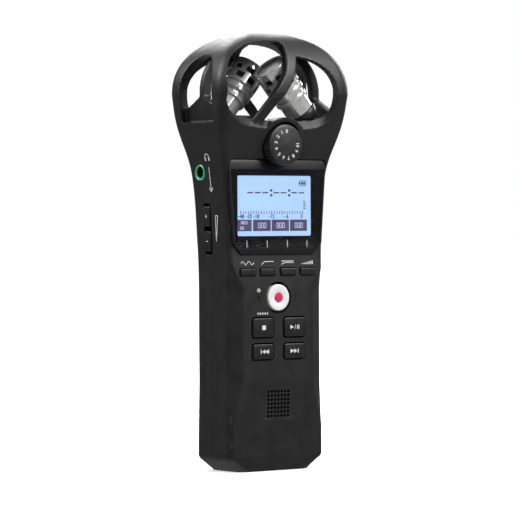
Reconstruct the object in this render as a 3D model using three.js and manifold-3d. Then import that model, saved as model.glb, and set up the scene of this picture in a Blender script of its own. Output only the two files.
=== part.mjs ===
// A portable field recorder with two crossed microphones in an open guard.
// Millimetres, +Z up. The front faces -Y, and the origin is at the centre of the base.
import * as THREE from "three";
import { mergeVertices } from "three/addons/utils/BufferGeometryUtils.js";
import Module from "manifold-3d";

const wasm = await Module();
wasm.setup();

// Driving dimensions
const HEIGHT = 137.5;
const HEAD_HALF_WIDTH = 25;
const HEAD_HALF_DEPTH = 16;
const SHOULDER_Z = 118; // the widest level, where the dome starts
const CAGE_BASE_Z = 105.3; // underside of the microphone guard
const GAP = 0.3; // clearance between neighbouring pieces
const WALL = 1.5;
const CAGE_WALL = 2.6;
const PARTING_Y = 3.6; // plane between the front and rear shells
const DOME_POWER = 2.2; // roundness of the dome, 2 would be an ellipse

const DIAL_Z = 102;
const DIAL_RADIUS = 6.45;
const DIAL_FACE_Y = -14.1;
const DIAL_SEAT_Y = -9.7;

const FRAME_HALF_WIDTH = { low: 17.1, high: 18.9 }; // the dark surround of the display
const FRAME_Z = [67.9, 97.5];
const FRAME_Y = [-9.3, -8];
const FRAME_SEAT_Y = -7.7;
const SCREEN_HALF_WIDTH = 15.3; // the hole in the surround
const SCREEN_Z = [71.7, 94.3];
const DISPLAY_HALF_WIDTH = 14.3; // the lit area
const DISPLAY_Z = [73.5, 92.5];

const PANEL_Y = -9.3; // front of the grip
const KEY_PROUD = 0.6;
const KEY_BACK_Y = -6.9;
const BATTERY_RADIUS = 5.15;
const BATTERY_X = 5.6;
const BATTERY_Y = 3.95;
const BATTERY_Z = [8, 52.5];
const BATTERY_NUB = 0.8; // height of the positive end's nub

const MIC_RADIUS = 5.7;
const MIC_Y = 5.9; // each microphone's distance in front of or behind the middle
const MIC_TILT = THREE.MathUtils.degToRad(40);
const MIC_FACE = new THREE.Vector3(-0.6, -MIC_Y, 126.8);
const MIC_LENGTH = 18;

// Section of the shell by height: half width, front and back, then the front corner's and
// the rear corner's width and depth, and how round the front corner is (0 flat, 1 round).
const STATIONS = [
  { z: 0, half: 13.3, front: -7.4, back: 9.2, frontCut: [3.4, 1.6], rearCut: [3, 2.4], round: 0.4 },
  { z: 4.2, half: 18.5, front: -8.4, back: 10.8, frontCut: [1.4, 1.8], rearCut: [4, 3.4], round: 0.4 },
  { z: 14, half: 18.3, front: -8.7, back: 11, frontCut: [1.4, 1.8], rearCut: [4, 3.6], round: 0.3 },
  { z: 28.5, half: 18, front: PANEL_Y, back: 11, frontCut: [4.8, 2.5], rearCut: [4, 3.6], round: 0 },
  { z: 57, half: 18, front: PANEL_Y, back: 11, frontCut: [4.8, 2.5], rearCut: [4, 3.6], round: 0 },
  { z: 63, half: 18.1, front: -9, back: 11, frontCut: [1.2, 1.8], rearCut: [4, 3.6], round: 0.3 },
  { z: 68, half: 18.3, front: -8.6, back: 11, frontCut: [1.2, 1.5], rearCut: [4, 3.6], round: 0.3 },
  { z: 84, half: 19, front: -8.3, back: 11.4, frontCut: [1.3, 1.4], rearCut: [4, 3.6], round: 0.4 },
  { z: 92, half: 19.7, front: -8.7, back: 11.8, frontCut: [1.5, 1.5], rearCut: [4.1, 3.7], round: 0.5 },
  { z: 98, half: 20.8, front: -9.7, back: 12.5, frontCut: [1.9, 1.7], rearCut: [4.2, 4], round: 0.7 },
  { z: 103, half: 22.6, front: -11.6, back: 13.8, frontCut: [3, 2.5], rearCut: [4.4, 4.3], round: 1 },
  { z: 110, half: 24.4, front: -14.2, back: 15.2, frontCut: [4.2, 4], rearCut: [4.7, 4.6], round: 1 },
  { z: SHOULDER_Z, half: HEAD_HALF_WIDTH, front: -HEAD_HALF_DEPTH, back: HEAD_HALF_DEPTH,
    frontCut: [4.7, 4.7], rearCut: [4.7, 4.7], round: 1 },
];
const CORNER_STEPS = 4;

// Solids and geometry

function solid(geometry) {
  const plain = geometry.clone();
  plain.deleteAttribute("normal");
  plain.deleteAttribute("uv");
  const merged = mergeVertices(plain, 1e-4);
  return new wasm.Manifold(
    new wasm.Mesh({
      numProp: 3,
      vertProperties: new Float32Array(merged.attributes.position.array),
      triVerts: new Uint32Array(merged.index.array),
    }),
  );
}

function geometryOf(body) {
  const mesh = body.getMesh();
  const geometry = new THREE.BufferGeometry();
  geometry.setAttribute("position", new THREE.BufferAttribute(mesh.vertProperties, 3));
  geometry.setIndex(new THREE.BufferAttribute(mesh.triVerts, 1));
  geometry.computeVertexNormals();
  return geometry;
}

function box(x, y, z) {
  const geometry = new THREE.BoxGeometry(x[1] - x[0], y[1] - y[0], z[1] - z[0]);
  geometry.translate((x[0] + x[1]) / 2, (y[0] + y[1]) / 2, (z[0] + z[1]) / 2);
  return solid(geometry);
}

function rodAlongY(x, z, radius, y, sides = 24) {
  const geometry = new THREE.CylinderGeometry(radius, radius, y[1] - y[0], sides);
  geometry.translate(x, (y[0] + y[1]) / 2, z);
  return solid(geometry);
}

function rodAlongX(y, z, radius, x, sides = 20) {
  const geometry = new THREE.CylinderGeometry(radius, radius, x[1] - x[0], sides);
  geometry.rotateZ(Math.PI / 2);
  geometry.translate((x[0] + x[1]) / 2, y, z);
  return solid(geometry);
}

function rodAlongZ(x, y, radius, z, sides = 24) {
  const geometry = new THREE.CylinderGeometry(radius, radius, z[1] - z[0], sides);
  geometry.rotateX(Math.PI / 2);
  geometry.translate(x, y, (z[0] + z[1]) / 2);
  return solid(geometry);
}

// A prism whose outline lies in X and Z and which runs along Y.
function prismAlongY(outline, y) {
  const shape = new THREE.Shape(outline.map(([x, z]) => new THREE.Vector2(x, z)));
  const geometry = new THREE.ExtrudeGeometry(shape, { depth: y[1] - y[0], bevelEnabled: false });
  geometry.rotateX(Math.PI / 2);
  geometry.translate(0, y[1], 0);
  return solid(geometry);
}

// A prism whose outline lies in Y and Z and which runs along X.
function prismAlongX(outline, x) {
  const shape = new THREE.Shape(outline.map(([y, z]) => new THREE.Vector2(y, z)));
  const geometry = new THREE.ExtrudeGeometry(shape, { depth: x[1] - x[0], bevelEnabled: false });
  const axes = new THREE.Matrix4().makeBasis(
    new THREE.Vector3(0, 1, 0),
    new THREE.Vector3(0, 0, 1),
    new THREE.Vector3(1, 0, 0),
  );
  geometry.applyMatrix4(axes);
  geometry.translate(x[0], 0, 0);
  return solid(geometry);
}

function roundedOutline(halfWidth, halfHeight, radius, centre) {
  const points = [];
  const corners = [[1, 1], [-1, 1], [-1, -1], [1, -1]];
  corners.forEach(([sx, sz], index) => {
    for (let step = 0; step <= 3; step += 1) {
      const angle = (index + step / 3) * (Math.PI / 2);
      points.push([
        centre[0] + sx * (halfWidth - radius) + radius * Math.cos(angle),
        centre[1] + sz * (halfHeight - radius) + radius * Math.sin(angle),
      ]);
    }
  });
  return points;
}

// The shell's section at one height, drawn in by an inset

function dome(z, top = HEIGHT) {
  const rise = Math.min(1, Math.max(0, (z - SHOULDER_Z) / (top - SHOULDER_Z)));
  return Math.pow(1 - Math.pow(rise, DOME_POWER), 1 / DOME_POWER);
}

function sectionAt(z) {
  const last = STATIONS[STATIONS.length - 1];
  if (z >= last.z) return last;
  const upper = STATIONS.findIndex((station) => station.z > z);
  const [low, high] = [STATIONS[upper - 1], STATIONS[upper]];
  const part = (z - low.z) / (high.z - low.z);
  const mix = (a, b) => a + (b - a) * part;
  const section = {};
  for (const key of ["half", "front", "back", "round"]) section[key] = mix(low[key], high[key]);
  for (const key of ["frontCut", "rearCut"]) {
    section[key] = [mix(low[key][0], high[key][0]), mix(low[key][1], high[key][1])];
  }
  return section;
}

function cornerPoints(corner, side, cut, round, reversed) {
  const points = [];
  for (let step = 0; step <= CORNER_STEPS; step += 1) {
    const part = step / CORNER_STEPS;
    const angle = (part * Math.PI) / 2;
    const along = (1 - part) * (1 - round) + Math.cos(angle) * round;
    const up = part * (1 - round) + Math.sin(angle) * round;
    points.push([
      corner[0] + side[0] * cut[0] * (along - 1),
      corner[1] + side[1] * cut[1] * (up - 1),
    ]);
  }
  return reversed ? points.reverse() : points;
}

function ringAt(z, inset = 0, scale = 1) {
  const section = sectionAt(z);
  const half = section.half - inset;
  const front = section.front + inset;
  const back = section.back - inset;
  const shrink = inset * 0.5;
  const frontCut = section.frontCut.map((cut) => Math.max(0.4, cut - shrink));
  const rearCut = section.rearCut.map((cut) => Math.max(0.4, cut - shrink));
  const points = [
    ...cornerPoints([-half, front], [-1, -1], frontCut, section.round, false),
    ...cornerPoints([half, front], [1, -1], frontCut, section.round, true),
    ...cornerPoints([half, back], [1, 1], rearCut, 1, false),
    ...cornerPoints([-half, back], [-1, 1], rearCut, 1, true),
  ];
  return points.map(([x, y]) => new THREE.Vector3(x * scale, y * scale, z));
}

function loft(rings) {
  const count = rings[0].length;
  const positions = rings.flat().flatMap((point) => [point.x, point.y, point.z]);
  const triangles = [];
  for (let level = 0; level + 1 < rings.length; level += 1) {
    for (let index = 0; index < count; index += 1) {
      const next = (index + 1) % count;
      const [a, b] = [level * count + index, level * count + next];
      triangles.push(a, b, b + count, a, b + count, a + count);
    }
  }
  const top = (rings.length - 1) * count;
  for (let index = 1; index + 1 < count; index += 1) {
    triangles.push(0, index + 1, index);
    triangles.push(top, top + index, top + index + 1);
  }
  const geometry = new THREE.BufferGeometry();
  geometry.setAttribute("position", new THREE.Float32BufferAttribute(positions, 3));
  geometry.setIndex(triangles);
  return solid(geometry);
}

function levelsBetween(low, high) {
  const inside = STATIONS.map((station) => station.z).filter((z) => z > low && z < high);
  return [low, ...inside, high];
}

const bodyHalfWidth = (z) => sectionAt(z).half;

// Shells

const bodyOuter = loft(levelsBetween(0, CAGE_BASE_Z - GAP).map((z) => ringAt(z)));
const bodyInner = loft(
  levelsBetween(WALL, CAGE_BASE_Z + 2).map((z) => ringAt(z, z < 4 ? WALL + 1 : WALL)),
);
const frontSide = box([-40, 40], [-40, PARTING_Y - GAP / 2], [-1, 150]);
const rearSide = box([-40, 40], [PARTING_Y + GAP / 2, 40], [-1, 150]);

// The round housing behind the level dial, shared by the front shell and the guard's base
const dialHousing = rodAlongY(0, DIAL_Z, DIAL_RADIUS + 2.1, [-20, DIAL_SEAT_Y + WALL], 32);
const dialRecess = rodAlongY(0, DIAL_Z, DIAL_RADIUS + 0.7, [-25, DIAL_SEAT_Y], 32);
const dialShaftHole = rodAlongY(0, DIAL_Z, 2.5, [-12, -6], 12);

// Front keys: centre, half size and corner radius
const FRONT_KEYS = [
  { name: "stop_button", x: -6.05, z: 45, half: [4.05, 3], radius: 0.9 },
  { name: "play_button", x: 6.05, z: 45, half: [4.05, 3], radius: 0.9 },
  { name: "rewind_button", x: -6.05, z: 37.5, half: [4.05, 2.35], radius: 0.9 },
  { name: "forward_button", x: 6.05, z: 37.5, half: [4.05, 2.35], radius: 0.9 },
  ...[-11.6, -3.9, 3.9, 11.6].map((x, index) => (
    { name: `function_button_${index + 1}`, x, z: 62.4, half: [2.9, 1.05], radius: 0.3 }
  )),
];
const RECORD = { x: 0, z: 54.3, radius: 4.15, hole: 5.05 };
const LED = { x: -7.7, z: 54.4, radius: 0.45 };
const SPEAKER = { z: 21.1, rows: 7, pitch: 1.28, hole: 0.42, radius: 7.6 };

// Side features: the left and right sockets and keys
const SOCKET = { y: 4.5, z: 93.5, bore: 1.75, ring: 2.5 };
const VOLUME_SLOT = { y: [0.3, 4.5], z: [67.9, 83.9] };
const VOLUME_KEYS = [["volume_up", 79.8], ["volume_down", 72]];
const POWER = { y: [0.6, 4.4], z: [78, 88], length: 5 };
const DELETE = { y: 2.5, z: 73.5, radius: 1.7 };
const CARD_DOOR = { y: [-0.2, 5.2], z: [56, 70] };
const USB = { y: [0.2, 3.2], z: [42, 50] };

function keyHole(key) {
  const half = [key.half[0] + GAP, key.half[1] + GAP];
  return prismAlongY(roundedOutline(...half, key.radius + GAP, [key.x, key.z]), [-20, -5]);
}

function speakerHoles() {
  const holes = [];
  const middle = (SPEAKER.rows - 1) / 2;
  for (let row = 0; row < SPEAKER.rows; row += 1) {
    for (let column = 0; column < SPEAKER.rows; column += 1) {
      const x = (column - middle) * SPEAKER.pitch;
      const z = SPEAKER.z + (row - middle) * SPEAKER.pitch;
      holes.push(rodAlongY(x, z, SPEAKER.hole, [-12, -6], 4));
    }
  }
  return holes;
}

const sideHoles = [
  rodAlongX(SOCKET.y, SOCKET.z, SOCKET.ring + GAP, [-30, -14]),
  rodAlongX(SOCKET.y, SOCKET.z, SOCKET.ring + GAP, [14, 30]),
  box([-30, -14], VOLUME_SLOT.y, VOLUME_SLOT.z),
  box([14, 30], POWER.y, POWER.z),
  rodAlongX(DELETE.y, DELETE.z, DELETE.radius + GAP, [14, 30]),
  box([14, 30], CARD_DOOR.y, CARD_DOOR.z),
  box([14, 30], USB.y, USB.z),
];

const shell = bodyOuter.subtract(bodyInner);
const cutAll = (body, cutters) => cutters.reduce((left, cutter) => left.subtract(cutter), body);

// The display's surround widens upwards, like the body. The outline is drawn larger by grow.
function frameOutline(grow = 0) {
  const { low, high } = FRAME_HALF_WIDTH;
  const [bottom, top] = [FRAME_Z[0] - grow, FRAME_Z[1] + grow];
  const left = [
    [-high - grow + 1.3, top],
    [-high - grow, top - 1.3],
    [-low - grow, bottom + 3.2],
    [-low - grow + 3.2, bottom],
  ];
  const right = left.map(([x, z]) => [-x, z]).reverse();
  return [...left, ...right];
}

// The span from -half to +half, and a span made longer at both ends
const across = (half) => [-half, half];
const grown = ([low, high], by) => [low - by, high + by];

const frontCase = cutAll(shell.add(dialHousing.intersect(bodyOuter)).intersect(frontSide), [
  dialRecess,
  dialShaftHole,
  prismAlongY(frameOutline(GAP), [-20, FRAME_SEAT_Y]),
  box(across(SCREEN_HALF_WIDTH + GAP), [-20, -5], grown(SCREEN_Z, GAP)),
  ...FRONT_KEYS.map(keyHole),
  rodAlongY(RECORD.x, RECORD.z, RECORD.hole, [-20, -5]),
  rodAlongY(LED.x, LED.z, LED.radius + GAP, [-20, -5], 8),
  ...speakerHoles(),
  ...sideHoles,
]);

const BATTERY_DOOR = { halfWidth: 13.2, z: [6.5, 57.5] };
const TRIPOD = { z: 66, radius: 4.5, bore: 3.1 };
const SCREWS = [[-11, 62.5], [11, 62.5], [-13, 86], [13, 86]];
const SCREW_RADIUS = 2;

const rearCase = cutAll(shell.intersect(rearSide), [
  box(across(BATTERY_DOOR.halfWidth), [5, 20], BATTERY_DOOR.z),
  rodAlongY(0, TRIPOD.z, TRIPOD.radius + GAP, [5, 20]),
  ...SCREWS.map(([x, z]) => rodAlongY(x, z, SCREW_RADIUS + GAP, [5, 20], 12)),
  ...sideHoles,
]);

// The microphone guard, which is the same when turned half a turn about Z

const INNER_TOP_Z = 134.8;
const DOME_LEVELS = [0, 4, 8, 11.5, 14.5, 17, 18.6, 19.3]; // above the shoulder, on the outer dome

// A solid dome that lies an inset inside the guard's outer surface
function domeSolid(inset, baseZ, topZ) {
  const stretch = (topZ - SHOULDER_Z) / (HEIGHT - SHOULDER_Z);
  return loft([
    ringAt(baseZ, inset),
    ringAt(110, inset),
    ...DOME_LEVELS.map((rise) => {
      const z = SHOULDER_Z + rise * stretch;
      return ringAt(z, inset, dome(z, topZ));
    }),
    ringAt(topZ, inset, 0.06),
  ]);
}

const cageOuter = domeSolid(0, CAGE_BASE_Z, HEIGHT);
const cageInner = domeSolid(CAGE_WALL, CAGE_BASE_Z + 1.4, INNER_TOP_Z);

// The outline of a guard opening: an arch on each side of a centre line, and a bowl below it.
// Each power says how square its curve is, from 2 for an ellipse upwards.
function archOutline(opening, steps = 8) {
  const { centre, left, right, leftTop, rightTop, bottom, leftPower, bowlPower } = opening;
  const quarter = Math.PI / 2;
  const arc = (reach, rise, power, from) => {
    const points = [];
    for (let step = 0; step < steps; step += 1) {
      const angle = from + (quarter * step) / (steps - 0.5);
      const [c, s] = [Math.cos(angle), Math.sin(angle)];
      points.push([
        centre + Math.sign(c) * Math.pow(Math.abs(c), 2 / power) * reach,
        SHOULDER_Z + Math.sign(s) * Math.pow(Math.abs(s), 2 / power) * rise,
      ]);
    }
    return points;
  };
  return [
    ...arc(right, rightTop - SHOULDER_Z, DOME_POWER, 0),
    ...arc(left, leftTop - SHOULDER_Z, leftPower, quarter),
    ...arc(left, SHOULDER_Z - bottom, bowlPower, 2 * quarter),
    ...arc(right, SHOULDER_Z - bottom, bowlPower, 3 * quarter),
  ];
}

const FRONT_OPENING = {
  centre: 2.5, left: 25.6, right: 16, leftTop: 134.4, rightTop: 129.5, bottom: 110.3,
  leftPower: 2.9, bowlPower: 2.6,
};
const RIM = { bottom: 106, front: -13.4, back: -11 }; // the slope below the opening
const SIDE_OPENING = {
  centre: 0, left: 8.6, right: 8.6, leftTop: 129.8, rightTop: 129.8, bottom: 100,
  leftPower: DOME_POWER, bowlPower: 4,
};
const LEDGE_Z = 109; // the flat sill of each side opening
const RIB = { inset: 2.3, depth: 3.2, halfWidth: 1.1 }; // the upright in each side opening
const TENT = { depth: 2.2, top: 117.5, halfWidth: 10, slope: 0.48 }; // the panel at its foot

// The diagonal bar's centre line in X and Z, which steepens as it climbs the dome
const BAR_HALF_WIDTH = 1.75;
const BAR_POINTS = [
  [-11.4, 107.5], [-5.6, 115], [-2.1, 119.7], [0.3, 123.3], [1.7, 127], [2.8, 131], [3.6, 138],
];
const BAR_FOOT = [[-30, 104], [-12.8, 104], [-12.8, 109], [-14.8, 116], [-30, 116]]; // cut from its front
const barLine = new THREE.CatmullRomCurve3(BAR_POINTS.map(([x, z]) => new THREE.Vector3(x, z, 0)));

function diagonalBar(steps = 12) {
  const sides = [[], []];
  for (let step = 0; step <= steps; step += 1) {
    const point = barLine.getPoint(step / steps);
    const along = barLine.getTangent(step / steps);
    [-BAR_HALF_WIDTH, BAR_HALF_WIDTH].forEach((offset, index) => {
      sides[index].push([point.x - along.y * offset, point.y + along.x * offset]);
    });
  }
  return prismAlongY([...sides[0], ...sides[1].reverse()], [-30, 0]).subtract(
    prismAlongX(BAR_FOOT, [-40, 40]),
  );
}

// The front opening is a hole with a slope down to it, crossed by the bar. The round housing
// of the dial stands in front of its lower edge.
function frontOpening() {
  const inner = archOutline(FRONT_OPENING);
  const rim = archOutline({ ...FRONT_OPENING, bottom: RIM.bottom });
  const ringOf = (outline, y) => outline.map(([x, z]) => new THREE.Vector3(x, -z, y)).reverse();
  const slope = loft([ringOf(rim, -40), ringOf(rim, RIM.front), ringOf(inner, RIM.back)])
    .rotate([-90, 0, 0])
    .intersect(box([-40, 40], [-40, 0], [100, SHOULDER_Z]));
  return prismAlongY(inner, [-30, 0]).add(slope).subtract(diagonalBar()).subtract(dialHousing);
}

function sideOpening() {
  const opening = prismAlongX(archOutline(SIDE_OPENING), [-30, -10]);
  return opening.subtract(box([-31, -9], [-20, 20], [90, LEDGE_Z]));
}

// The upright in a side opening and the tent-shaped panel that it stands on
function sideRib() {
  const skin = (thickness) => {
    const inner = RIB.inset + thickness;
    return domeSolid(RIB.inset, CAGE_BASE_Z + 0.2, HEIGHT - RIB.inset)
      .subtract(domeSolid(inner, CAGE_BASE_Z + 0.1, HEIGHT - inner));
  };
  const { halfWidth, top, slope } = TENT;
  const eaves = top - halfWidth * slope;
  const tent = prismAlongX(
    [[-halfWidth, 106], [halfWidth, 106], [halfWidth, eaves], [0, top], [-halfWidth, eaves]],
    [-30, -10],
  );
  const upright = box([-30, -10], across(RIB.halfWidth), [106, 136]);
  return skin(TENT.depth).intersect(tent).add(skin(RIB.depth).intersect(upright));
}

const halfTurn = (body) => body.rotate([0, 0, 180]);
const cageOpenings = [frontOpening(), sideOpening()];
const cage = cutAll(
  cageOuter.subtract(cageInner).add(dialHousing.intersect(cageOuter)),
  [...cageOpenings, ...cageOpenings.map(halfTurn), dialRecess],
).add(sideRib()).add(halfTurn(sideRib()));
const cageFront = cage.intersect(box([-40, 40], [-40, -GAP / 2], [100, 150]));
const cageRear = cage.intersect(box([-40, 40], [GAP / 2, 40], [100, 150]));

// Display

const screenFrame = prismAlongY(frameOutline(), FRAME_Y).subtract(
  box(across(SCREEN_HALF_WIDTH), [-20, 0], SCREEN_Z),
);
const screenWindow = box(across(SCREEN_HALF_WIDTH - GAP), [-8.9, -8.3], grown(SCREEN_Z, -GAP));
const lcdPanel = box(across(SCREEN_HALF_WIDTH), [-7.9, -5.2], SCREEN_Z).add(
  box(across(DISPLAY_HALF_WIDTH), [-8, -7.8], DISPLAY_Z),
);

// Controls

function frontKey(key) {
  return prismAlongY(
    roundedOutline(...key.half, key.radius, [key.x, key.z]),
    [sectionAt(key.z).front - KEY_PROUD, KEY_BACK_Y],
  );
}

const recordFaceY = PANEL_Y - 0.3;
const recordRod = (radius, y, sides) => rodAlongY(RECORD.x, RECORD.z, radius, y, sides);
const recordButton = recordRod(RECORD.radius, [recordFaceY, KEY_BACK_Y], 32).subtract(
  recordRod(1.7, [-20, recordFaceY + 0.5], 20),
);
const recordDot = recordRod(1.45, [recordFaceY - 0.05, recordFaceY + 0.25], 20);

function levelKnob() {
  const ribs = 36;
  const outline = [];
  for (let index = 0; index < 2 * ribs; index += 1) {
    const angle = (index / (2 * ribs)) * 2 * Math.PI;
    const radius = index % 2 ? DIAL_RADIUS : DIAL_RADIUS - 0.3;
    outline.push([radius * Math.cos(angle), DIAL_Z + radius * Math.sin(angle)]);
  }
  return prismAlongY(outline, [DIAL_FACE_Y + 0.5, DIAL_SEAT_Y - 0.4])
    .add(rodAlongY(0, DIAL_Z, 5.6, [DIAL_FACE_Y, DIAL_FACE_Y + 0.6], 32))
    .subtract(rodAlongY(0, DIAL_Z, 2.3, [-12.9, -5], 12));
}

const levelPot = box([-4.5, 4.5], [-7.9, -4.2], [96.4, 104.7]).add(
  rodAlongY(0, DIAL_Z, 1.95, [-12.5, -7], 12),
);

// Each key stands half a millimetre out of the wall.
function volumeKey(z) {
  const middle = (VOLUME_SLOT.y[0] + VOLUME_SLOT.y[1]) / 2;
  const wall = bodyHalfWidth(z);
  return box([-wall - 0.5, -wall + 2], [middle - 1.8, middle + 1.8], [z - 3.15, z + 3.15]);
}

const powerMiddle = (POWER.z[0] + POWER.z[1]) / 2;
const powerWall = bodyHalfWidth(powerMiddle);
const powerSwitch = box(
  [powerWall - 1.4, powerWall + 1],
  grown(POWER.y, -GAP),
  [powerMiddle - POWER.length / 2, powerMiddle + POWER.length / 2],
);
const deleteWall = bodyHalfWidth(DELETE.z);
const deleteButton = rodAlongX(DELETE.y, DELETE.z, DELETE.radius, [deleteWall - 1.6, deleteWall + 0.4]);

// Connectors and storage

function socket(side) {
  const { y, z, bore, ring } = SOCKET;
  const wall = bodyHalfWidth(z);
  const span = (from, to) => [side * from, side * to].sort((a, b) => a - b);
  const hole = rodAlongX(y, z, bore, span(8, 40));
  const barrel = box(span(6, wall - 2.8), [y - 3.2, y + 3.2], [z - 3.4, z + 3.4]);
  const collar = rodAlongX(y, z, ring, span(wall - 2.5, wall + 0.35), 28);
  return { barrel: barrel.subtract(hole), collar: collar.subtract(hole) };
}

const phoneSocket = socket(-1);
const lineSocket = socket(1);
const usbWall = bodyHalfWidth(46);
const usbPort = box([12.4, usbWall - 0.3], grown(USB.y, -GAP), grown(USB.z, -GAP)).subtract(
  box([13.4, 30], grown(USB.y, -0.8), grown(USB.z, -0.8)),
);
const cardSocket = box([4, 15], [0.5, 3.6], [56.4, 69.6])
  .subtract(box([4.6, 20], [1.2, 2.9], [57.2, 68.8]));
const memoryCard = box([5, 16.2], [1.55, 2.55], [57.5, 68.5]);
const doorWall = bodyHalfWidth(63);
const cardCover = box(
  [doorWall - 1.2, doorWall - 0.1],
  grown(CARD_DOOR.y, -GAP),
  grown(CARD_DOOR.z, -GAP),
);

// Power, boards and fasteners

const batteryCover = box(
  across(BATTERY_DOOR.halfWidth - GAP),
  [9.5, 10.95],
  grown(BATTERY_DOOR.z, -GAP),
);

// The two cells lie in opposite directions: the left one's nub is up, the right one's is down.
function battery(side) {
  const [bottom, top] = BATTERY_Z;
  const canZ = side < 0 ? [bottom, top - BATTERY_NUB] : [bottom + BATTERY_NUB, top];
  return rodAlongZ(side * BATTERY_X, BATTERY_Y, BATTERY_RADIUS, canZ).add(
    rodAlongZ(side * BATTERY_X, BATTERY_Y, 1.9, BATTERY_Z, 16),
  );
}

const contactTop = box([-11, 11], [0, 8], [BATTERY_Z[1] + GAP, 53.6]);
const contactBottom = box([-11, 11], [0, 8], [6.9, BATTERY_Z[0] - GAP]);
const tripodInsert = rodAlongY(0, TRIPOD.z, TRIPOD.radius, [4.2, 10.9], 24).subtract(
  rodAlongY(0, TRIPOD.z, TRIPOD.bore, [5, 20], 24),
);

function caseScrew([x, z]) {
  const face = sectionAt(z).back - 0.4;
  return rodAlongY(x, z, SCREW_RADIUS, [face - 1.4, face], 16)
    .add(rodAlongY(x, z, 0.9, [face - 6.5, face - 1], 10))
    .subtract(box([x - 1.2, x + 1.2], [face - 0.6, face + 2], [z - 0.25, z + 0.25]))
    .subtract(box([x - 0.25, x + 0.25], [face - 0.6, face + 2], [z - 1.2, z + 1.2]));
}

const mainBoard = box([-15, 15], [-3.6, -2.4], [6, 95]);
const keypadMat = box([-14, 14], [-6.3, -5.5], [33, 65]);
const speaker = rodAlongY(0, SPEAKER.z, SPEAKER.radius, [-7.1, -4.2], 28).subtract(
  rodAlongY(0, SPEAKER.z, SPEAKER.radius - 1.2, [-12, -6.4], 28),
);
const recordLed = rodAlongY(LED.x, LED.z, LED.radius, [PANEL_Y + 0.1, -6.7], 8);

// Microphones: lathed about their own axis, from the sound inlet back to the base

function lathe(profile, sides) {
  const points = profile.map(([radius, along]) => new THREE.Vector2(radius, along));
  return new THREE.LatheGeometry(points, sides);
}

// Places a lathe, whose axis is Y, so that it points from the base to the sound inlet.
function placeMicrophone(geometry) {
  geometry.rotateX(Math.PI / 2);
  geometry.rotateY(-MIC_TILT);
  geometry.translate(MIC_FACE.x, MIC_FACE.y, MIC_FACE.z);
  return solid(geometry);
}

const micBody = placeMicrophone(lathe([
  [0, -MIC_LENGTH], [4.6, -MIC_LENGTH], [4.6, -13.4], [5.2, -13.2], [5.2, -12.2], [4.8, -12], [4.8, -10.6],
  [MIC_RADIUS, -10.4], [MIC_RADIUS, -9.2], [5.1, -9], [5.1, -7.2], [MIC_RADIUS, -7], [MIC_RADIUS, 0],
  [5.2, 0.3], [5.2, -1], [0, -1],
], 28));
const micMesh = placeMicrophone(lathe([[0, -0.7], [4.9, -0.7], [4.9, -0.3], [3, 0.05], [0, 0.2]], 28));
const podTop = -MIC_LENGTH - GAP;
const micPod = placeMicrophone(lathe([
  [0, podTop - 3.4], [3.6, podTop - 3.4], [4.8, podTop - 2], [5, podTop], [0, podTop],
], 24));
const micBracket = box([-17, 17], [-7.8, 7.8], [CAGE_BASE_Z + 1.4 + GAP, 107.3]);

// Materials and the finished group

const black = { color: 0x17181a, roughness: 0.55, metalness: 0 };
const darkKey = { color: 0x121314, roughness: 0.45, metalness: 0 };
const metal = { color: 0xc9ccd0, roughness: 0.15, metalness: 1 };
const green = { color: 0x1fae6a, roughness: 0.3, metalness: 0 };

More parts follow.
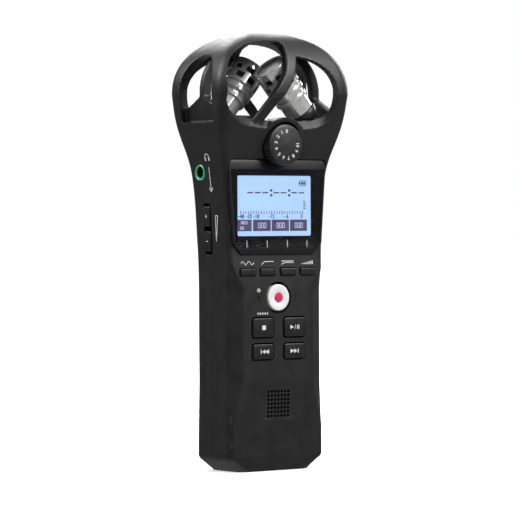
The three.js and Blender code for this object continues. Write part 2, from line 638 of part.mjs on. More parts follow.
const PIECES = [
  ["front_case", frontCase, black],
  ["rear_case", rearCase, black],
  ["cage_front", cageFront, black],
  ["cage_rear", cageRear, black],
  ["screen_frame", screenFrame, { color: 0x0b0c0e, roughness: 0.25, metalness: 0 }],
  ["screen_window", screenWindow, { color: 0xdfe8f2, roughness: 0.05, metalness: 0 }],
  ["lcd_panel", lcdPanel, { color: 0xa9c6ff, roughness: 0.4, metalness: 0 }],
  ["level_knob", levelKnob(), darkKey],
  ["level_pot", levelPot, { color: 0x8a8d90, roughness: 0.4, metalness: 0.8 }],
  ...FRONT_KEYS.map((key) => [key.name, frontKey(key), darkKey]),
  ["record_button", recordButton, { color: 0xf2f2ee, roughness: 0.35, metalness: 0 }],
  ["record_dot", recordDot, { color: 0xd8203f, roughness: 0.35, metalness: 0 }],
  ["record_led", recordLed, { color: 0x3a0a0a, roughness: 0.2, metalness: 0 }],
  ["phone_jack", phoneSocket.barrel, { color: 0x0d2a1b, roughness: 0.5, metalness: 0 }],
  ["jack_collar", phoneSocket.collar, green],
  ["line_in_jack", lineSocket.barrel, darkKey],
  ["line_in_collar", lineSocket.collar, darkKey],
  ...VOLUME_KEYS.map(([name, z]) => [name, volumeKey(z), darkKey]),
  ["power_switch", powerSwitch, darkKey],
  ["delete_button", deleteButton, darkKey],
  ["usb_port", usbPort, metal],
  ["card_socket", cardSocket, metal],
  ["memory_card", memoryCard, { color: 0x101010, roughness: 0.5, metalness: 0 }],
  ["card_cover", cardCover, darkKey],
  ["battery_cover", batteryCover, black],
  ["battery_1", battery(-1), { color: 0x3c6e8f, roughness: 0.35, metalness: 0.3 }],
  ["battery_2", battery(1), { color: 0x3c6e8f, roughness: 0.35, metalness: 0.3 }],
  ["battery_contact_top", contactTop, metal],
  ["battery_contact_bottom", contactBottom, metal],
  ["tripod_insert", tripodInsert, { color: 0xb9a06a, roughness: 0.3, metalness: 1 }],
  ...SCREWS.map((place, index) => [`case_screw_${index + 1}`, caseScrew(place), metal]),
  ["main_board", mainBoard, { color: 0x1d4a2c, roughness: 0.5, metalness: 0 }],
  ["keypad_mat", keypadMat, { color: 0x2a2a2c, roughness: 0.8, metalness: 0 }],
  ["speaker", speaker, { color: 0x2b2c2e, roughness: 0.6, metalness: 0.2 }],
  ["mic_front_body", micBody, metal],
  ["mic_front_mesh", micMesh, metal],
  ["mic_front_pod", micPod, black],
  ["mic_rear_body", halfTurn(micBody), metal],
  ["mic_rear_mesh", halfTurn(micMesh), metal],
  ["mic_rear_pod", halfTurn(micPod), black],
  ["mic_bracket", micBracket, black],
];

const recorder = new THREE.Group();
for (const [name, body, look] of PIECES) {
  const mesh = new THREE.Mesh(geometryOf(body), new THREE.MeshStandardMaterial(look));
  mesh.name = name;
  recorder.add(mesh);
}

export default recorder;
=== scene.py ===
"""Looks for a portable field recorder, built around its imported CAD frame."""

import math

import bpy
from mathutils import Matrix, Vector


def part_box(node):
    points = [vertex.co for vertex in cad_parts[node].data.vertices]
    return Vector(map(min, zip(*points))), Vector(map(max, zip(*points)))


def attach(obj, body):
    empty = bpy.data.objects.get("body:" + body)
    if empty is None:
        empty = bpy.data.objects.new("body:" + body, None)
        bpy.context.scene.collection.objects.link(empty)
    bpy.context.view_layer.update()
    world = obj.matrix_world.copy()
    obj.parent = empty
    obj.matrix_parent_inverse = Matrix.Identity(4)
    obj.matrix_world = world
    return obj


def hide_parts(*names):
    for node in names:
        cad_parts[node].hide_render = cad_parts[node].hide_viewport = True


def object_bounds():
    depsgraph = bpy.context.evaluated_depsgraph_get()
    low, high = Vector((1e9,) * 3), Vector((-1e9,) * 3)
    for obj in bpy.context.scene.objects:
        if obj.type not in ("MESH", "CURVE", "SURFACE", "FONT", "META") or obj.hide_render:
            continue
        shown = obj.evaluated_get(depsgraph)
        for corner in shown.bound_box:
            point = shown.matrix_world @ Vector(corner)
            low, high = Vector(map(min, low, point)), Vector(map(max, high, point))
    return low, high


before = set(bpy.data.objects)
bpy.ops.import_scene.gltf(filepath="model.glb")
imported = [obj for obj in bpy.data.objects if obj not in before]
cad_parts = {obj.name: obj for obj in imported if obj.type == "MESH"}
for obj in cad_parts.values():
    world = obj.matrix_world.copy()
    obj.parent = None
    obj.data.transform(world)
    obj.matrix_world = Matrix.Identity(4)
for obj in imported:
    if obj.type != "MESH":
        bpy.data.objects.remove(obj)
cad_low, cad_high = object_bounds()

MM = 0.001
QUARTER = math.pi / 2

# The shell's driving sizes, in millimetres, as in the CAD frame
HEIGHT = cad_high.z / MM
SHOULDER_Z = 118
INNER_TOP_Z = 134.8
DOME_POWER = 2.2
WALL = 1.5
CAGE_WALL = 2.6
JOIN_Z = 105.2
PARTING_Y = 3.6
SEAM = 0.12
SEAM_DEPTH = 0.45

DIAL_Z = 102
DIAL_SEAT_Y = -9.7
DIAL_RADIUS = 6.45
RECORD_Z = 54.3

FRAME_LOW_HALF, FRAME_HIGH_HALF = 17.1, 18.9
FRAME_BOTTOM_Z = 67.9
FRAME_TOP_Z = 97.5

FRONT_OPENING = {
    "centre": 2.5, "left": 25.6, "right": 16, "left_top": 134.4, "right_top": 129.5,
    "bottom": 110.3, "left_power": 2.9, "bowl": 2.6,
}
RIM_BOTTOM, RIM_FRONT, RIM_BACK = 106, -13.4, -11
SIDE_OPENING = {
    "centre": 0, "left": 8.6, "right": 8.6, "left_top": 129.8, "right_top": 129.8,
    "bottom": 100, "left_power": DOME_POWER, "bowl": 4,
}
LEDGE_Z = 109
RIB_INSET, RIB_DEPTH, RIB_HALF_WIDTH = 2.3, 3.2, 1.1
TENT_DEPTH, TENT_TOP, TENT_HALF_WIDTH, TENT_SLOPE = 2.2, 117.5, 10, 0.48
BAR_HALF_WIDTH = 1.75
BAR_FOOT = [(-30, 104), (-12.8, 104), (-12.8, 109), (-14.8, 116), (-30, 116)]
BAR_POINTS = [
    (-11.4, 107.5), (-5.6, 115), (-2.1, 119.7), (0.3, 123.3), (1.7, 127), (2.8, 131), (3.6, 138),
]

MIC_TILT = math.radians(40)
MIC_FACE = Vector((-0.6, -5.9, 126.8))
MIC_RADIUS = 5.7
MIC_LENGTH = 18

# z, half width, front, back, front corner (width, depth), rear corner (width, depth), roundness
STATIONS = [
    (0, 13.3, -7.4, 9.2, (3.4, 1.6), (3, 2.4), 0.4),
    (4.2, 18.5, -8.4, 10.8, (1.4, 1.8), (4, 3.4), 0.4),
    (14, 18.3, -8.7, 11, (1.4, 1.8), (4, 3.6), 0.3),
    (28.5, 18, -9.3, 11, (4.8, 2.5), (4, 3.6), 0),
    (57, 18, -9.3, 11, (4.8, 2.5), (4, 3.6), 0),
    (63, 18.1, -9, 11, (1.2, 1.8), (4, 3.6), 0.3),
    (68, 18.3, -8.6, 11, (1.2, 1.5), (4, 3.6), 0.3),
    (84, 19, -8.3, 11.4, (1.3, 1.4), (4, 3.6), 0.4),
    (92, 19.7, -8.7, 11.8, (1.5, 1.5), (4.1, 3.7), 0.5),
    (98, 20.8, -9.7, 12.5, (1.9, 1.7), (4.2, 4), 0.7),
    (103, 22.6, -11.6, 13.8, (3, 2.5), (4.4, 4.3), 1),
    (110, 24.4, -14.2, 15.2, (4.2, 4), (4.7, 4.6), 1),
    (SHOULDER_Z, 25, -16, 16, (4.7, 4.7), (4.7, 4.7), 1),
]
SMOOTH_ABOVE_Z = 68


PAINT_DEPTH = 0.03

# Mesh helpers


def linked(name, data):
    obj = bpy.data.objects.new(name, data)
    bpy.context.scene.collection.objects.link(obj)
    return obj


def new_object(name, vertices, faces):
    mesh = bpy.data.meshes.new(name)
    mesh.from_pydata([Vector(v) * MM for v in vertices], [], faces)
    mesh.update()
    return linked(name, mesh)


def ring_faces(levels, count):
    """The faces between rings of count points each, joined in the order of levels."""
    faces = []
    for level, following in zip(levels, levels[1:]):
        low, high = level * count, following * count
        for index in range(count):
            after = (index + 1) % count
            faces.append((low + index, low + after, high + after, high + index))
    return faces


def loft(name, rings):
    count = len(rings[0])
    vertices = [point for each in rings for point in each]
    faces = ring_faces(range(len(rings)), count)
    faces.append(tuple(reversed(range(count))))
    top = (len(rings) - 1) * count
    faces.append(tuple(range(top, top + count)))
    return new_object(name, vertices, faces)


def set_along(axis, a, b, level):
    """An outline's point (a, b), placed at that level along X or Y."""
    return (a, level, b) if axis == "Y" else (level, a, b)


def prism(name, outline, axis, low, high):
    """A prism along Y from an outline in X and Z, or along X from an outline in Y and Z."""
    ends = (high, low) if axis == "Y" else (low, high)
    return loft(name, [[set_along(axis, a, b, c) for a, b in outline] for c in ends])


def circle(radius, centre=(0, 0), steps=48, start=0.0):
    angles = [start + 2 * math.pi * step / steps for step in range(steps)]
    return [(centre[0] + radius * math.cos(a), centre[1] + radius * math.sin(a)) for a in angles]


def rectangle(half_width, half_height, centre=(0, 0)):
    x, z = centre
    return [
        (x - half_width, z - half_height),
        (x + half_width, z - half_height),
        (x + half_width, z + half_height),
        (x - half_width, z + half_height),
    ]


def rounded(half_width, half_height, radius, centre=(0, 0), steps=6):
    points = []
    for index, (sx, sz) in enumerate(((1, 1), (-1, 1), (-1, -1), (1, -1))):
        for step in range(steps + 1):
            angle = (index + step / steps) * QUARTER
            x = centre[0] + sx * (half_width - radius) + radius * math.cos(angle)
            z = centre[1] + sz * (half_height - radius) + radius * math.sin(angle)
            points.append((x, z))
    return points


def cuboid(x, y, z):
    return prism("cuboid", rectangle((x[1] - x[0]) / 2, (z[1] - z[0]) / 2,
                                     ((x[0] + x[1]) / 2, (z[0] + z[1]) / 2)), "Y", *y)


def rod(axis, centre, radius, low, high, steps=48):
    return prism("rod", circle(radius, centre, steps), axis, low, high)


def turned_rings(profile, steps):
    return [[(x, y, height) for x, y in circle(radius, steps=steps)] for radius, height in profile]


def lathe(name, profile, steps=64):
    """Turns (radius, height) points about Z. The profile starts and ends on the axis."""
    rings = turned_rings(profile[1:-1], steps)
    vertices = [point for each in rings for point in each]
    faces = ring_faces(range(len(rings)), steps)
    first, last = len(vertices), len(vertices) + 1
    vertices += [(0, 0, profile[0][1]), (0, 0, profile[-1][1])]
    top = (len(rings) - 1) * steps
    for index in range(steps):
        after = (index + 1) % steps
        faces.append((first, after, index))
        faces.append((last, top + index, top + after))
    return new_object(name, vertices, faces)


def bake_modifiers(obj):
    depsgraph = bpy.context.evaluated_depsgraph_get()
    mesh = bpy.data.meshes.new_from_object(obj.evaluated_get(depsgraph))
    obj.modifiers.clear()
    obj.data = mesh
    return obj


def combine(obj, other, operation):
    modifier = obj.modifiers.new("combine", "BOOLEAN")
    modifier.solver = "MANIFOLD"
    modifier.operation = operation
    modifier.object = other
    bake_modifiers(obj)
    bpy.data.objects.remove(other)
    return obj


def cut(obj, *others):
    for other in others:
        combine(obj, other, "DIFFERENCE")
    return obj


def copy_of(obj, name):
    twin = obj.copy()
    twin.data = obj.data.copy()
    twin.name = name
    bpy.context.scene.collection.objects.link(twin)
    return twin


def merged(pieces, name="merged"):
    """One object made of pieces that don't touch one another."""
    vertices, faces = [], []
    for piece in pieces:
        start = len(vertices)
        vertices += [v.co / MM for v in piece.data.vertices]
        faces += [tuple(start + index for index in face.vertices) for face in piece.data.polygons]
        bpy.data.objects.remove(piece)
    return new_object(name, vertices, faces)


def moved(obj, matrix):
    obj.data.transform(matrix)
    return obj


def facing_front(x, y, z):
    """From a piece that lies on Z to one at that place, facing -Y."""
    return Matrix.Translation(Vector((x, y, z)) * MM) @ Matrix.Rotation(QUARTER, 4, "X")


def half_turn(obj):
    return moved(obj, Matrix.Rotation(math.pi, 4, "Z"))


def smooth(obj, angle=32):
    obj.data.shade_smooth()
    obj.data.set_sharp_from_angle(angle=math.radians(angle))
    return obj


def bevel(obj, width, segments=3, angle=35):
    modifier = obj.modifiers.new("bevel", "BEVEL")
    modifier.width = width * MM
    modifier.segments = segments
    modifier.limit_method = "ANGLE"
    modifier.angle_limit = math.radians(angle)
    return bake_modifiers(obj)


def finish_piece(obj, name, material, body="root", replaces=(), angle=32):
    obj.name = name
    obj.data.name = name
    obj.data.materials.clear()
    obj.data.materials.append(material)
    smooth(obj, angle)
    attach(obj, body)
    if replaces:
        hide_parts(*replaces)
    return obj


def box_mm(node):
    low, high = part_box(node)
    return low / MM, high / MM


def box_face(node, axis):
    """The centre and half sizes of a node's box, as seen along an axis."""
    low, high = box_mm(node)
    seen = [index for index in range(3) if "XYZ"[index] != axis]
    return [(high[i] + low[i]) / 2 for i in seen], [(high[i] - low[i]) / 2 for i in seen]


def box_outline(node, axis, radius, grow):
    """The rounded outline of a node's box, as seen along an axis and grown by that much."""
    centre, half = box_face(node, axis)
    return rounded(half[0] + grow, half[1] + grow, radius, centre)


# Procedural materials


class Look:
    """A small wrapper round a Principled material, with helpers for grain and painted edge highlights."""

    def __init__(self, name, color, roughness, metallic=0.0):
        self.material = bpy.data.materials.new(name)
        self.material.use_nodes = True
        self.tree = self.material.node_tree
        self.shader = self.tree.nodes["Principled BSDF"]
        self.color = (*color, 1)
        self.give("Base Color", self.color).give("Roughness", roughness).give("Metallic", metallic)
        self.roughness = roughness
        self.coordinates = self.node("ShaderNodeTexCoord")
        self.height = None

    def give(self, name, value):
        self.shader.inputs[name].default_value = value
        return self

    def node(self, kind, **values):
        made = self.tree.nodes.new(kind)
        for key, value in values.items():
            if key in made.inputs:
                made.inputs[key].default_value = value
            else:
                setattr(made, key, value)
        return made

    def link(self, source, target):
        self.tree.links.new(source, target)

    def noise(self, size_mm, detail=3.0):
        noise = self.node("ShaderNodeTexNoise", Scale=1 / (size_mm * MM), Detail=detail)
        self.link(self.coordinates.outputs["Object"], noise.inputs["Vector"])
        return noise.outputs["Fac"]

    def spread(self, source, low, high, start=0.3, end=0.7):
        """Takes the source's stretch from start to end onto the one from low to high."""
        limits = {"From Min": start, "From Max": end, "To Min": low, "To Max": high}
        ramp = self.node("ShaderNodeMapRange", **limits)
        self.link(source, ramp.inputs["Value"])
        return ramp.outputs["Result"]

    def vary_color(self, size_mm, amount):
        """Lightens and darkens the colour softly over patches of that size."""
        mix = self.node("ShaderNodeMix", data_type="RGBA")
        dark = tuple(c * (1 - amount) for c in self.color[:3])
        light = tuple(min(1, c * (1 + amount) + 0.002 * amount) for c in self.color[:3])
        mix.inputs["A"].default_value = (*dark, 1)
        mix.inputs["B"].default_value = (*light, 1)
        self.link(self.spread(self.noise(size_mm), 0, 1), mix.inputs["Factor"])
        self.link(mix.outputs["Result"], self.shader.inputs["Base Color"])
        self.varied = mix.outputs["Result"]
        return self

    def vary_roughness(self, size_mm, amount):
        low, high = self.roughness - amount, self.roughness + amount
        self.link(self.spread(self.noise(size_mm), low, high), self.shader.inputs["Roughness"])
        return self

    def grain(self, size_mm, depth_mm, strength=1.0, detail=3.0):
        bump = self.node("ShaderNodeBump", Strength=strength, Distance=depth_mm * MM)
        self.link(self.noise(size_mm, detail), bump.inputs["Height"])
        if self.height:
            self.link(self.height, bump.inputs["Normal"])
        self.height = bump.outputs["Normal"]
        self.link(self.height, self.shader.inputs["Normal"])
        return self

    def worn_edges(self, amount):
        """Lightens the convex edges a little: a painted highlight along them."""
        geometry = self.node("ShaderNodeNewGeometry")
        edge = self.spread(geometry.outputs["Pointiness"], 0, amount, 0.53, 0.6)
        mix = self.node("ShaderNodeMix", data_type="RGBA")
        mix.inputs["B"].default_value = (0.16, 0.16, 0.165, 1)
        self.link(edge, mix.inputs["Factor"])
        self.link(self.varied, mix.inputs["A"])
        self.link(mix.outputs["Result"], self.shader.inputs["Base Color"])
        return self


def uneven(name, color, roughness, patches, shine, grain, edge_highlight=0.0, metallic=0.0):
    """A look that varies in colour, roughness and height. Each of these starts with its size."""
    look = Look(name, color, roughness, metallic)
    look.vary_color(*patches).vary_roughness(*shine)
    # Convex edges get a painted highlight of that strength.
    if edge_highlight:
        look.worn_edges(edge_highlight)
    return look.grain(*grain)


def plain(name, color, roughness, metallic=0.0):
    shine = (1.2, min(0.06, roughness / 2))
    return uneven(name, color, roughness, (2, 0.1), shine, (0.3, 0.006, 0.5), 0, metallic).material


def shell_material():
    color, fine_grain = (0.0135, 0.0135, 0.0142), (0.28, 0.012, 0.55, 2)
    # The last argument, 0.12, paints a highlight on the shell's convex edges.
    look = uneven("shell_plastic", color, 0.44, (9, 0.18), (4, 0.05), fine_grain, 0.12)
    return look.grain(1.6, 0.02, 0.25).give("Specular IOR Level", 0.42).material


def gloss_material():
    color, grain = (0.0015, 0.0015, 0.003), (6, 0.004, 0.2)
    look = uneven("display_gloss", color, 0.4, (5, 0.2), (6, 0.04), grain)
    return look.give("Specular IOR Level", 0.08).material


def green_material():
    color, grain = (0.06, 0.62, 0.3), (0.3, 0.003, 0.3)
    look = uneven("collar_green_painted_glow", color, 0.25, (0.8, 0.1), (0.8, 0.05), grain)
    # The emission paints a glow on the collar, which is no lamp.
    return look.give("Emission Color", (0.03, 0.7, 0.3, 1)).give("Emission Strength", 0.08).material


def lit_material(name, color, strength):
    look = Look(name, tuple(c * 0.1 for c in color), 0.3)
    backlight = look.node("ShaderNodeMix", data_type="RGBA")
    backlight.inputs["A"].default_value = (*(c * 0.93 for c in color), 1)
    backlight.inputs["B"].default_value = (*color, 1)
    look.link(look.spread(look.noise(9), 0, 1), backlight.inputs["Factor"])
    look.link(backlight.outputs["Result"], look.shader.inputs["Emission Color"])
    look.give("Emission Strength", strength)
    return look.vary_color(6, 0.05).grain(0.3, 0.002, 0.2).material


def glass_material():
    look = Look("window_clear", (1, 1, 1), 0.02).vary_roughness(5, 0.015)
    return look.give("Transmission Weight", 1.0).give("IOR", 1.2).material


# The knob, keys and bezel below also get a painted highlight on their convex edges, from the last number
# given to uneven.
SHELL = shell_material()
# The knob's colour is a little lighter than the shell's black: the lift is a painted sheen for the
# reflections its face picks up.
KNOB = uneven(
    "knob_plastic", (0.022, 0.022, 0.023), 0.38, (3, 0.2), (1.5, 0.06), (0.2, 0.008, 0.5), 0.2,
).material
KEY = uneven(
    "key_plastic", (0.012, 0.012, 0.013), 0.36, (3, 0.2), (2, 0.05), (0.18, 0.006, 0.5), 0.2,
).material
BEZEL = uneven(
    "bezel_satin", (0.0065, 0.0065, 0.007), 0.38, (5, 0.2), (6, 0.05), (0.2, 0.006, 0.4), 0.15,
).material
GLOSS = gloss_material()
WHITE = uneven(
    "record_white", (0.86, 0.86, 0.84), 0.32, (2, 0.02), (1.5, 0.05), (0.25, 0.004, 0.4),
).material
RED = uneven(
    "record_red", (0.72, 0.03, 0.1), 0.35, (0.8, 0.08), (0.6, 0.05), (0.2, 0.004, 0.4),
).material
GLOWING_GREEN = green_material()
CHROME = uneven(
    "microphone_chrome", (0.9, 0.9, 0.89), 0.12, (3, 0.05), (1.5, 0.02), (0.6, 0.003, 0.2), 0, 0.62,
).material
PAINT = uneven(
    "marking_paint", (0.78, 0.78, 0.77), 0.5, (0.5, 0.06), (0.4, 0.06), (0.12, 0.003, 0.5),
).material
DISPLAY_LIT = lit_material("display_lit", (0.4, 0.61, 0.97), 1.0)
DISPLAY_INK = plain("display_ink", (0.012, 0.016, 0.07), 0.4)
DISPLAY_BLOCK = lit_material("display_block", (0.07, 0.05, 0.13), 0.8)
DISPLAY_PIXEL = lit_material("display_pixel", (0.45, 0.5, 0.85), 1.0)
GLASS = glass_material()
# Near black: the colour of dark inner parts, and painted shade on the plates behind the side slots.
DARK = plain("inside_dark", (0.008, 0.008, 0.009), 0.6)
LED_LENS = plain("led_lens", (0.03, 0.004, 0.004), 0.2)
JACK_GREEN = plain("jack_green", (0.001, 0.02, 0.008), 0.4)
STEEL = plain("plated_steel", (0.6, 0.6, 0.61), 0.25, 1.0)
WIRE = plain("mesh_wire", (0.6, 0.6, 0.61), 0.34, 1.0)
BLACK_STEEL = plain("blackened_steel", (0.05, 0.05, 0.052), 0.35, 1.0)
BRASS = plain("turned_brass", (0.5, 0.42, 0.27), 0.34, 1.0)
RUBBER = plain("soft_rubber", (0.014, 0.014, 0.015), 0.65)
BOARD = plain("solder_mask", (0.01, 0.07, 0.025), 0.4)
SLEEVE = plain("battery_sleeve", (0.05, 0.16, 0.32), 0.3)
CARD = plain("card_plastic", (0.015, 0.015, 0.017), 0.4)


# The shell's section by height


def mixed(a, b, part):
    if isinstance(a, tuple):
        return tuple(mixed(x, y, part) for x, y in zip(a, b))
    return a + (b - a) * part


def straight_section(z):
    if z >= SHOULDER_Z:
        return STATIONS[-1][1:]
    if z <= 0:
        return STATIONS[0][1:]
    upper = next(index for index, station in enumerate(STATIONS) if station[0] > z)
    low, high = STATIONS[upper - 1], STATIONS[upper]
    part = (z - low[0]) / (high[0] - low[0])
    return tuple(mixed(a, b, part) for a, b in zip(low[1:], high[1:]))


def section_at(z):
    """The straight stretches between stations, averaged over a window that widens in the head."""
    window = 0.5 if z < SMOOTH_ABOVE_Z else 0.5 + min(1.0, (z - SMOOTH_ABOVE_Z) / 14) * 3.2
    window = min(window, z / 2 + 0.05, max(0.05, (SHOULDER_Z - z) * 0.9))
    steps = 6
    samples = [straight_section(z + window * (k / steps)) for k in range(-steps, steps + 1)]
    count = len(samples)

    def average(values):
        if isinstance(values[0], tuple):
            return tuple(sum(column) / count for column in zip(*values))
        return sum(values) / count

    return tuple(average(values) for values in zip(*samples))


def corner(point, side, size, roundness, reverse, steps):
    points = []
    for step in range(steps + 1):
        part = step / steps
        along = (1 - part) * (1 - roundness) + math.cos(part * QUARTER) * roundness
        up = part * (1 - roundness) + math.sin(part * QUARTER) * roundness
        x = point[0] + side[0] * size[0] * (along - 1)
        y = point[1] + side[1] * size[1] * (up - 1)
        points.append((x, y))
    return points[::-1] if reverse else points


def ring(z, inset=0.0, scale=1.0, steps=12, flats=8):
    half, front, back, front_cut, rear_cut, roundness = section_at(z)
    half, front, back = half - inset, front + inset, back - inset
    front_cut = tuple(max(0.4, c - inset / 2) for c in front_cut)
    rear_cut = tuple(max(0.4, c - inset / 2) for c in rear_cut)
    corners = [
        corner((-half, front), (-1, -1), front_cut, roundness, False, steps),
        corner((half, front), (1, -1), front_cut, roundness, True, steps),
        corner((half, back), (1, 1), rear_cut, 1, False, steps),
        corner((-half, back), (-1, 1), rear_cut, 1, True, steps),
    ]
    points = []
    for index, points_here in enumerate(corners):
        points += points_here
        end, start = Vector(points_here[-1]), Vector(corners[(index + 1) % 4][0])
        margin = min(0.4 / max((start - end).length, 1), 0.3)
        for step in range(flats + 1):
            points.append(tuple(end.lerp(start, margin + (1 - 2 * margin) * step / flats)))
    count = len(points)
    eased = []
    for index, (x, y) in enumerate(points):
        before, after = points[index - 1], points[(index + 1) % count]
        eased.append(((before[0] + 2 * x + after[0]) / 4, (before[1] + 2 * y + after[1]) / 4))
    return [(x * scale, y * scale, z) for x, y in eased]


def dome(z, top):
    rise = min(1.0, max(0.0, (z - SHOULDER_Z) / (top - SHOULDER_Z)))
    return (1 - rise ** DOME_POWER) ** (1 / DOME_POWER)


def spaced(low, high, step):
    count = max(1, round((high - low) / step))
    return [low + (high - low) * index / count for index in range(count + 1)]


def dome_heights(top, count):
    """Heights that crowd towards the top, where the dome curves fastest."""
    angles = [QUARTER * index / count for index in range(count)]
    return [SHOULDER_Z + (top - SHOULDER_Z) * math.sin(a) ** (2 / DOME_POWER) for a in angles]


# The microphone guard


def arch(shape, bottom, steps=26):
    """An opening's outline: an arch on each side of a centre line, and a bowl below it."""

    def arc(reach, rise, power, start):
        points = []
        for step in range(steps):
            angle = start + QUARTER * (step + 0.5) / steps
            c, s = math.cos(angle), math.sin(angle)
            x = math.copysign(abs(c) ** (2 / power), c) * reach
            z = math.copysign(abs(s) ** (2 / power), s) * rise
            points.append((shape["centre"] + x, SHOULDER_Z + z))
        return points

    left, right, depth = shape["left"], shape["right"], SHOULDER_Z - bottom
    return (
        arc(right, shape["right_top"] - SHOULDER_Z, DOME_POWER, 0)
        + arc(left, shape["left_top"] - SHOULDER_Z, shape["left_power"], QUARTER)
        + arc(left, depth, shape["bowl"], 2 * QUARTER)
        + arc(right, depth, shape["bowl"], 3 * QUARTER)
    )


def smooth_line(points, steps=6):
    """A Catmull-Rom curve through the points."""
    padded = [points[0], *points, points[-1]]
    made = []
    for knots in zip(padded, padded[1:], padded[2:], padded[3:]):
        a, b, c, d = (Vector(knot) for knot in knots)
        for step in range(steps):
            t = step / steps
            bend = (2 * a - 5 * b + 4 * c - d) * t ** 2 + (3 * b - a - 3 * c + d) * t ** 3
            made.append((2 * b + (c - a) * t + bend) / 2)
    return made + [Vector(points[-1])]


def diagonal_bar():
    """The bar across the front opening. It steepens as it climbs, and its foot is set back."""
    path = smooth_line(BAR_POINTS)
    left, right = [], []
    for index, point in enumerate(path):
        before, after = path[max(0, index - 1)], path[min(len(path) - 1, index + 1)]
        along = (after - before).normalized()
        across = Vector((-along.y, along.x)) * BAR_HALF_WIDTH
        left.append(tuple(point + across))
        right.append(tuple(point - across))
    bar = prism("bar", right + left[::-1], "Y", -30, 0.5)
    return cut(bar, prism("foot", BAR_FOOT, "X", -40, 40))


def front_opening():
    """A hole with a slope down to it, crossed by the bar, behind the dial's housing."""
    inner = arch(FRONT_OPENING, FRONT_OPENING["bottom"])
    rim = arch(FRONT_OPENING, RIM_BOTTOM)
    levels = ((inner, RIM_BACK), (rim, RIM_FRONT), (rim, -30))
    slope = loft("slope", [[(x, y, z) for x, z in outline] for outline, y in levels])
    combine(slope, cuboid((-40, 40), (-40, 0), (100, SHOULDER_Z)), "INTERSECT")
    hole = combine(prism("hole", inner, "Y", -30, 0), slope, "UNION")
    return cut(hole, diagonal_bar(), dial_housing())


def side_opening():
    opening = prism("side_opening", arch(SIDE_OPENING, SIDE_OPENING["bottom"]), "X", -30, -10)
    return cut(opening, cuboid((-31, -9), (-20, 20), (90, LEDGE_Z)))


def dome_solid(name, inset, base, top, step=0.9, count=26):
    """A solid with the guard's outer form, drawn in by an inset."""
    rings = [ring(z, inset) for z in spaced(base, SHOULDER_Z, step)[:-1]]
    rings += [ring(z, inset, dome(z, top)) for z in dome_heights(top, count)]
    rings.append(ring(top, inset, 0.05))
    return loft(name, rings)


def side_rib():
    """The upright in a side opening and the tent-shaped panel that it stands on."""

    def skin(depth):
        inner = RIB_INSET + depth
        return cut(
            dome_solid("skin", RIB_INSET, JOIN_Z - 2, HEIGHT - RIB_INSET, 1.2, 16),
            dome_solid("skin_hollow", inner, JOIN_Z - 2.2, HEIGHT - inner, 1.2, 16),
        )

    eaves = TENT_TOP - TENT_HALF_WIDTH * TENT_SLOPE
    tent = [
        (-TENT_HALF_WIDTH, 106), (TENT_HALF_WIDTH, 106), (TENT_HALF_WIDTH, eaves),
        (0, TENT_TOP), (-TENT_HALF_WIDTH, eaves),
    ]
    panel = combine(skin(TENT_DEPTH), prism("tent", tent, "X", -30, -10), "INTERSECT")
    upright = cuboid((-30, -10), (-RIB_HALF_WIDTH, RIB_HALF_WIDTH), (106, 136))
    return combine(panel, combine(skin(RIB_DEPTH), upright, "INTERSECT"), "UNION")


def dial_housing():
    return rod("Y", (0, DIAL_Z), DIAL_RADIUS + 2.1, -20, DIAL_SEAT_Y + WALL)


def guard():
    body = dome_solid("guard", 0, JOIN_Z - 2.5, HEIGHT)
    housing = combine(dial_housing(), copy_of(body, "housing_limit"), "INTERSECT")
    cut(body, dome_solid("hollow", CAGE_WALL, 106.7, INNER_TOP_Z, 1.2, 20))
    combine(body, housing, "UNION")
    for maker in (front_opening, side_opening):
        cut(body, maker(), half_turn(maker()))
    combine(body, side_rib(), "UNION")
    combine(body, half_turn(side_rib()), "UNION")
    remesh = body.modifiers.new("remesh", "REMESH")
    remesh.mode = "VOXEL"
    remesh.voxel_size = 0.3 * MM
    relax = body.modifiers.new("relax", "SMOOTH")
    relax.factor = 0.5
    relax.iterations = 5
    bake_modifiers(body)
    return cut(body, cuboid((-40, 40), (-40, 40), (90, JOIN_Z)))


# The shell


def key_hole(node, radius, clearance):
    return prism("key_hole", box_outline(node, "Y", radius + clearance, clearance), "Y", -20, -5)


FUNCTION_KEYS = [f"function_button_{index}" for index in range(1, 5)]
TRANSPORT_KEYS = ["stop_button", "play_button", "rewind_button", "forward_button"]
SPEAKER_ROWS, SPEAKER_PITCH, SPEAKER_Z = 7, 1.28, 21.1
SCREW_PLACES = [(-11, 62.5), (11, 62.5), (-13, 86), (13, 86)]
RECORD_LIGHT_PLACE, TRIPOD_PLACE = (-7.7, 54.4), (0, 66)
LID_X, LID_Z = (-13.05, 13.05), (6.65, 57.35)
MODULE_X, MODULE_Z = (-15.6, 15.6), (71.4, 94.6)
SOCKET_PLACE, SOCKET_HOLE = (4.5, 93.5), 2.62


def speaker_holes():
    middle = (SPEAKER_ROWS - 1) / 2
    holes = []
    for row in range(SPEAKER_ROWS):
        for column in range(SPEAKER_ROWS):
            place = ((column - middle) * SPEAKER_PITCH, SPEAKER_Z + (row - middle) * SPEAKER_PITCH)
            holes.append(rod("Y", place, 0.48, -12, -6, 14))
    return holes


def side_cutters():
    left, right = (-30, -14), (14, 30)
    return [
        rod("X", SOCKET_PLACE, SOCKET_HOLE, *left),
        rod("X", SOCKET_PLACE, SOCKET_HOLE, *right),
        prism("volume_slot", rounded(2.1, 8, 1.1, (2.4, 75.9)), "X", *left),
        prism("power_slot", rounded(1.9, 5, 0.8, (2.5, 83)), "X", *right),
        rod("X", (2.5, 73.5), 1.95, *right),
        prism("card_slot", box_outline("card_cover", "X", 0.7, 0.12), "X", *right),
        prism("usb_slot", box_outline("usb_port", "X", 0.5, 0.15), "X", *right),
    ]


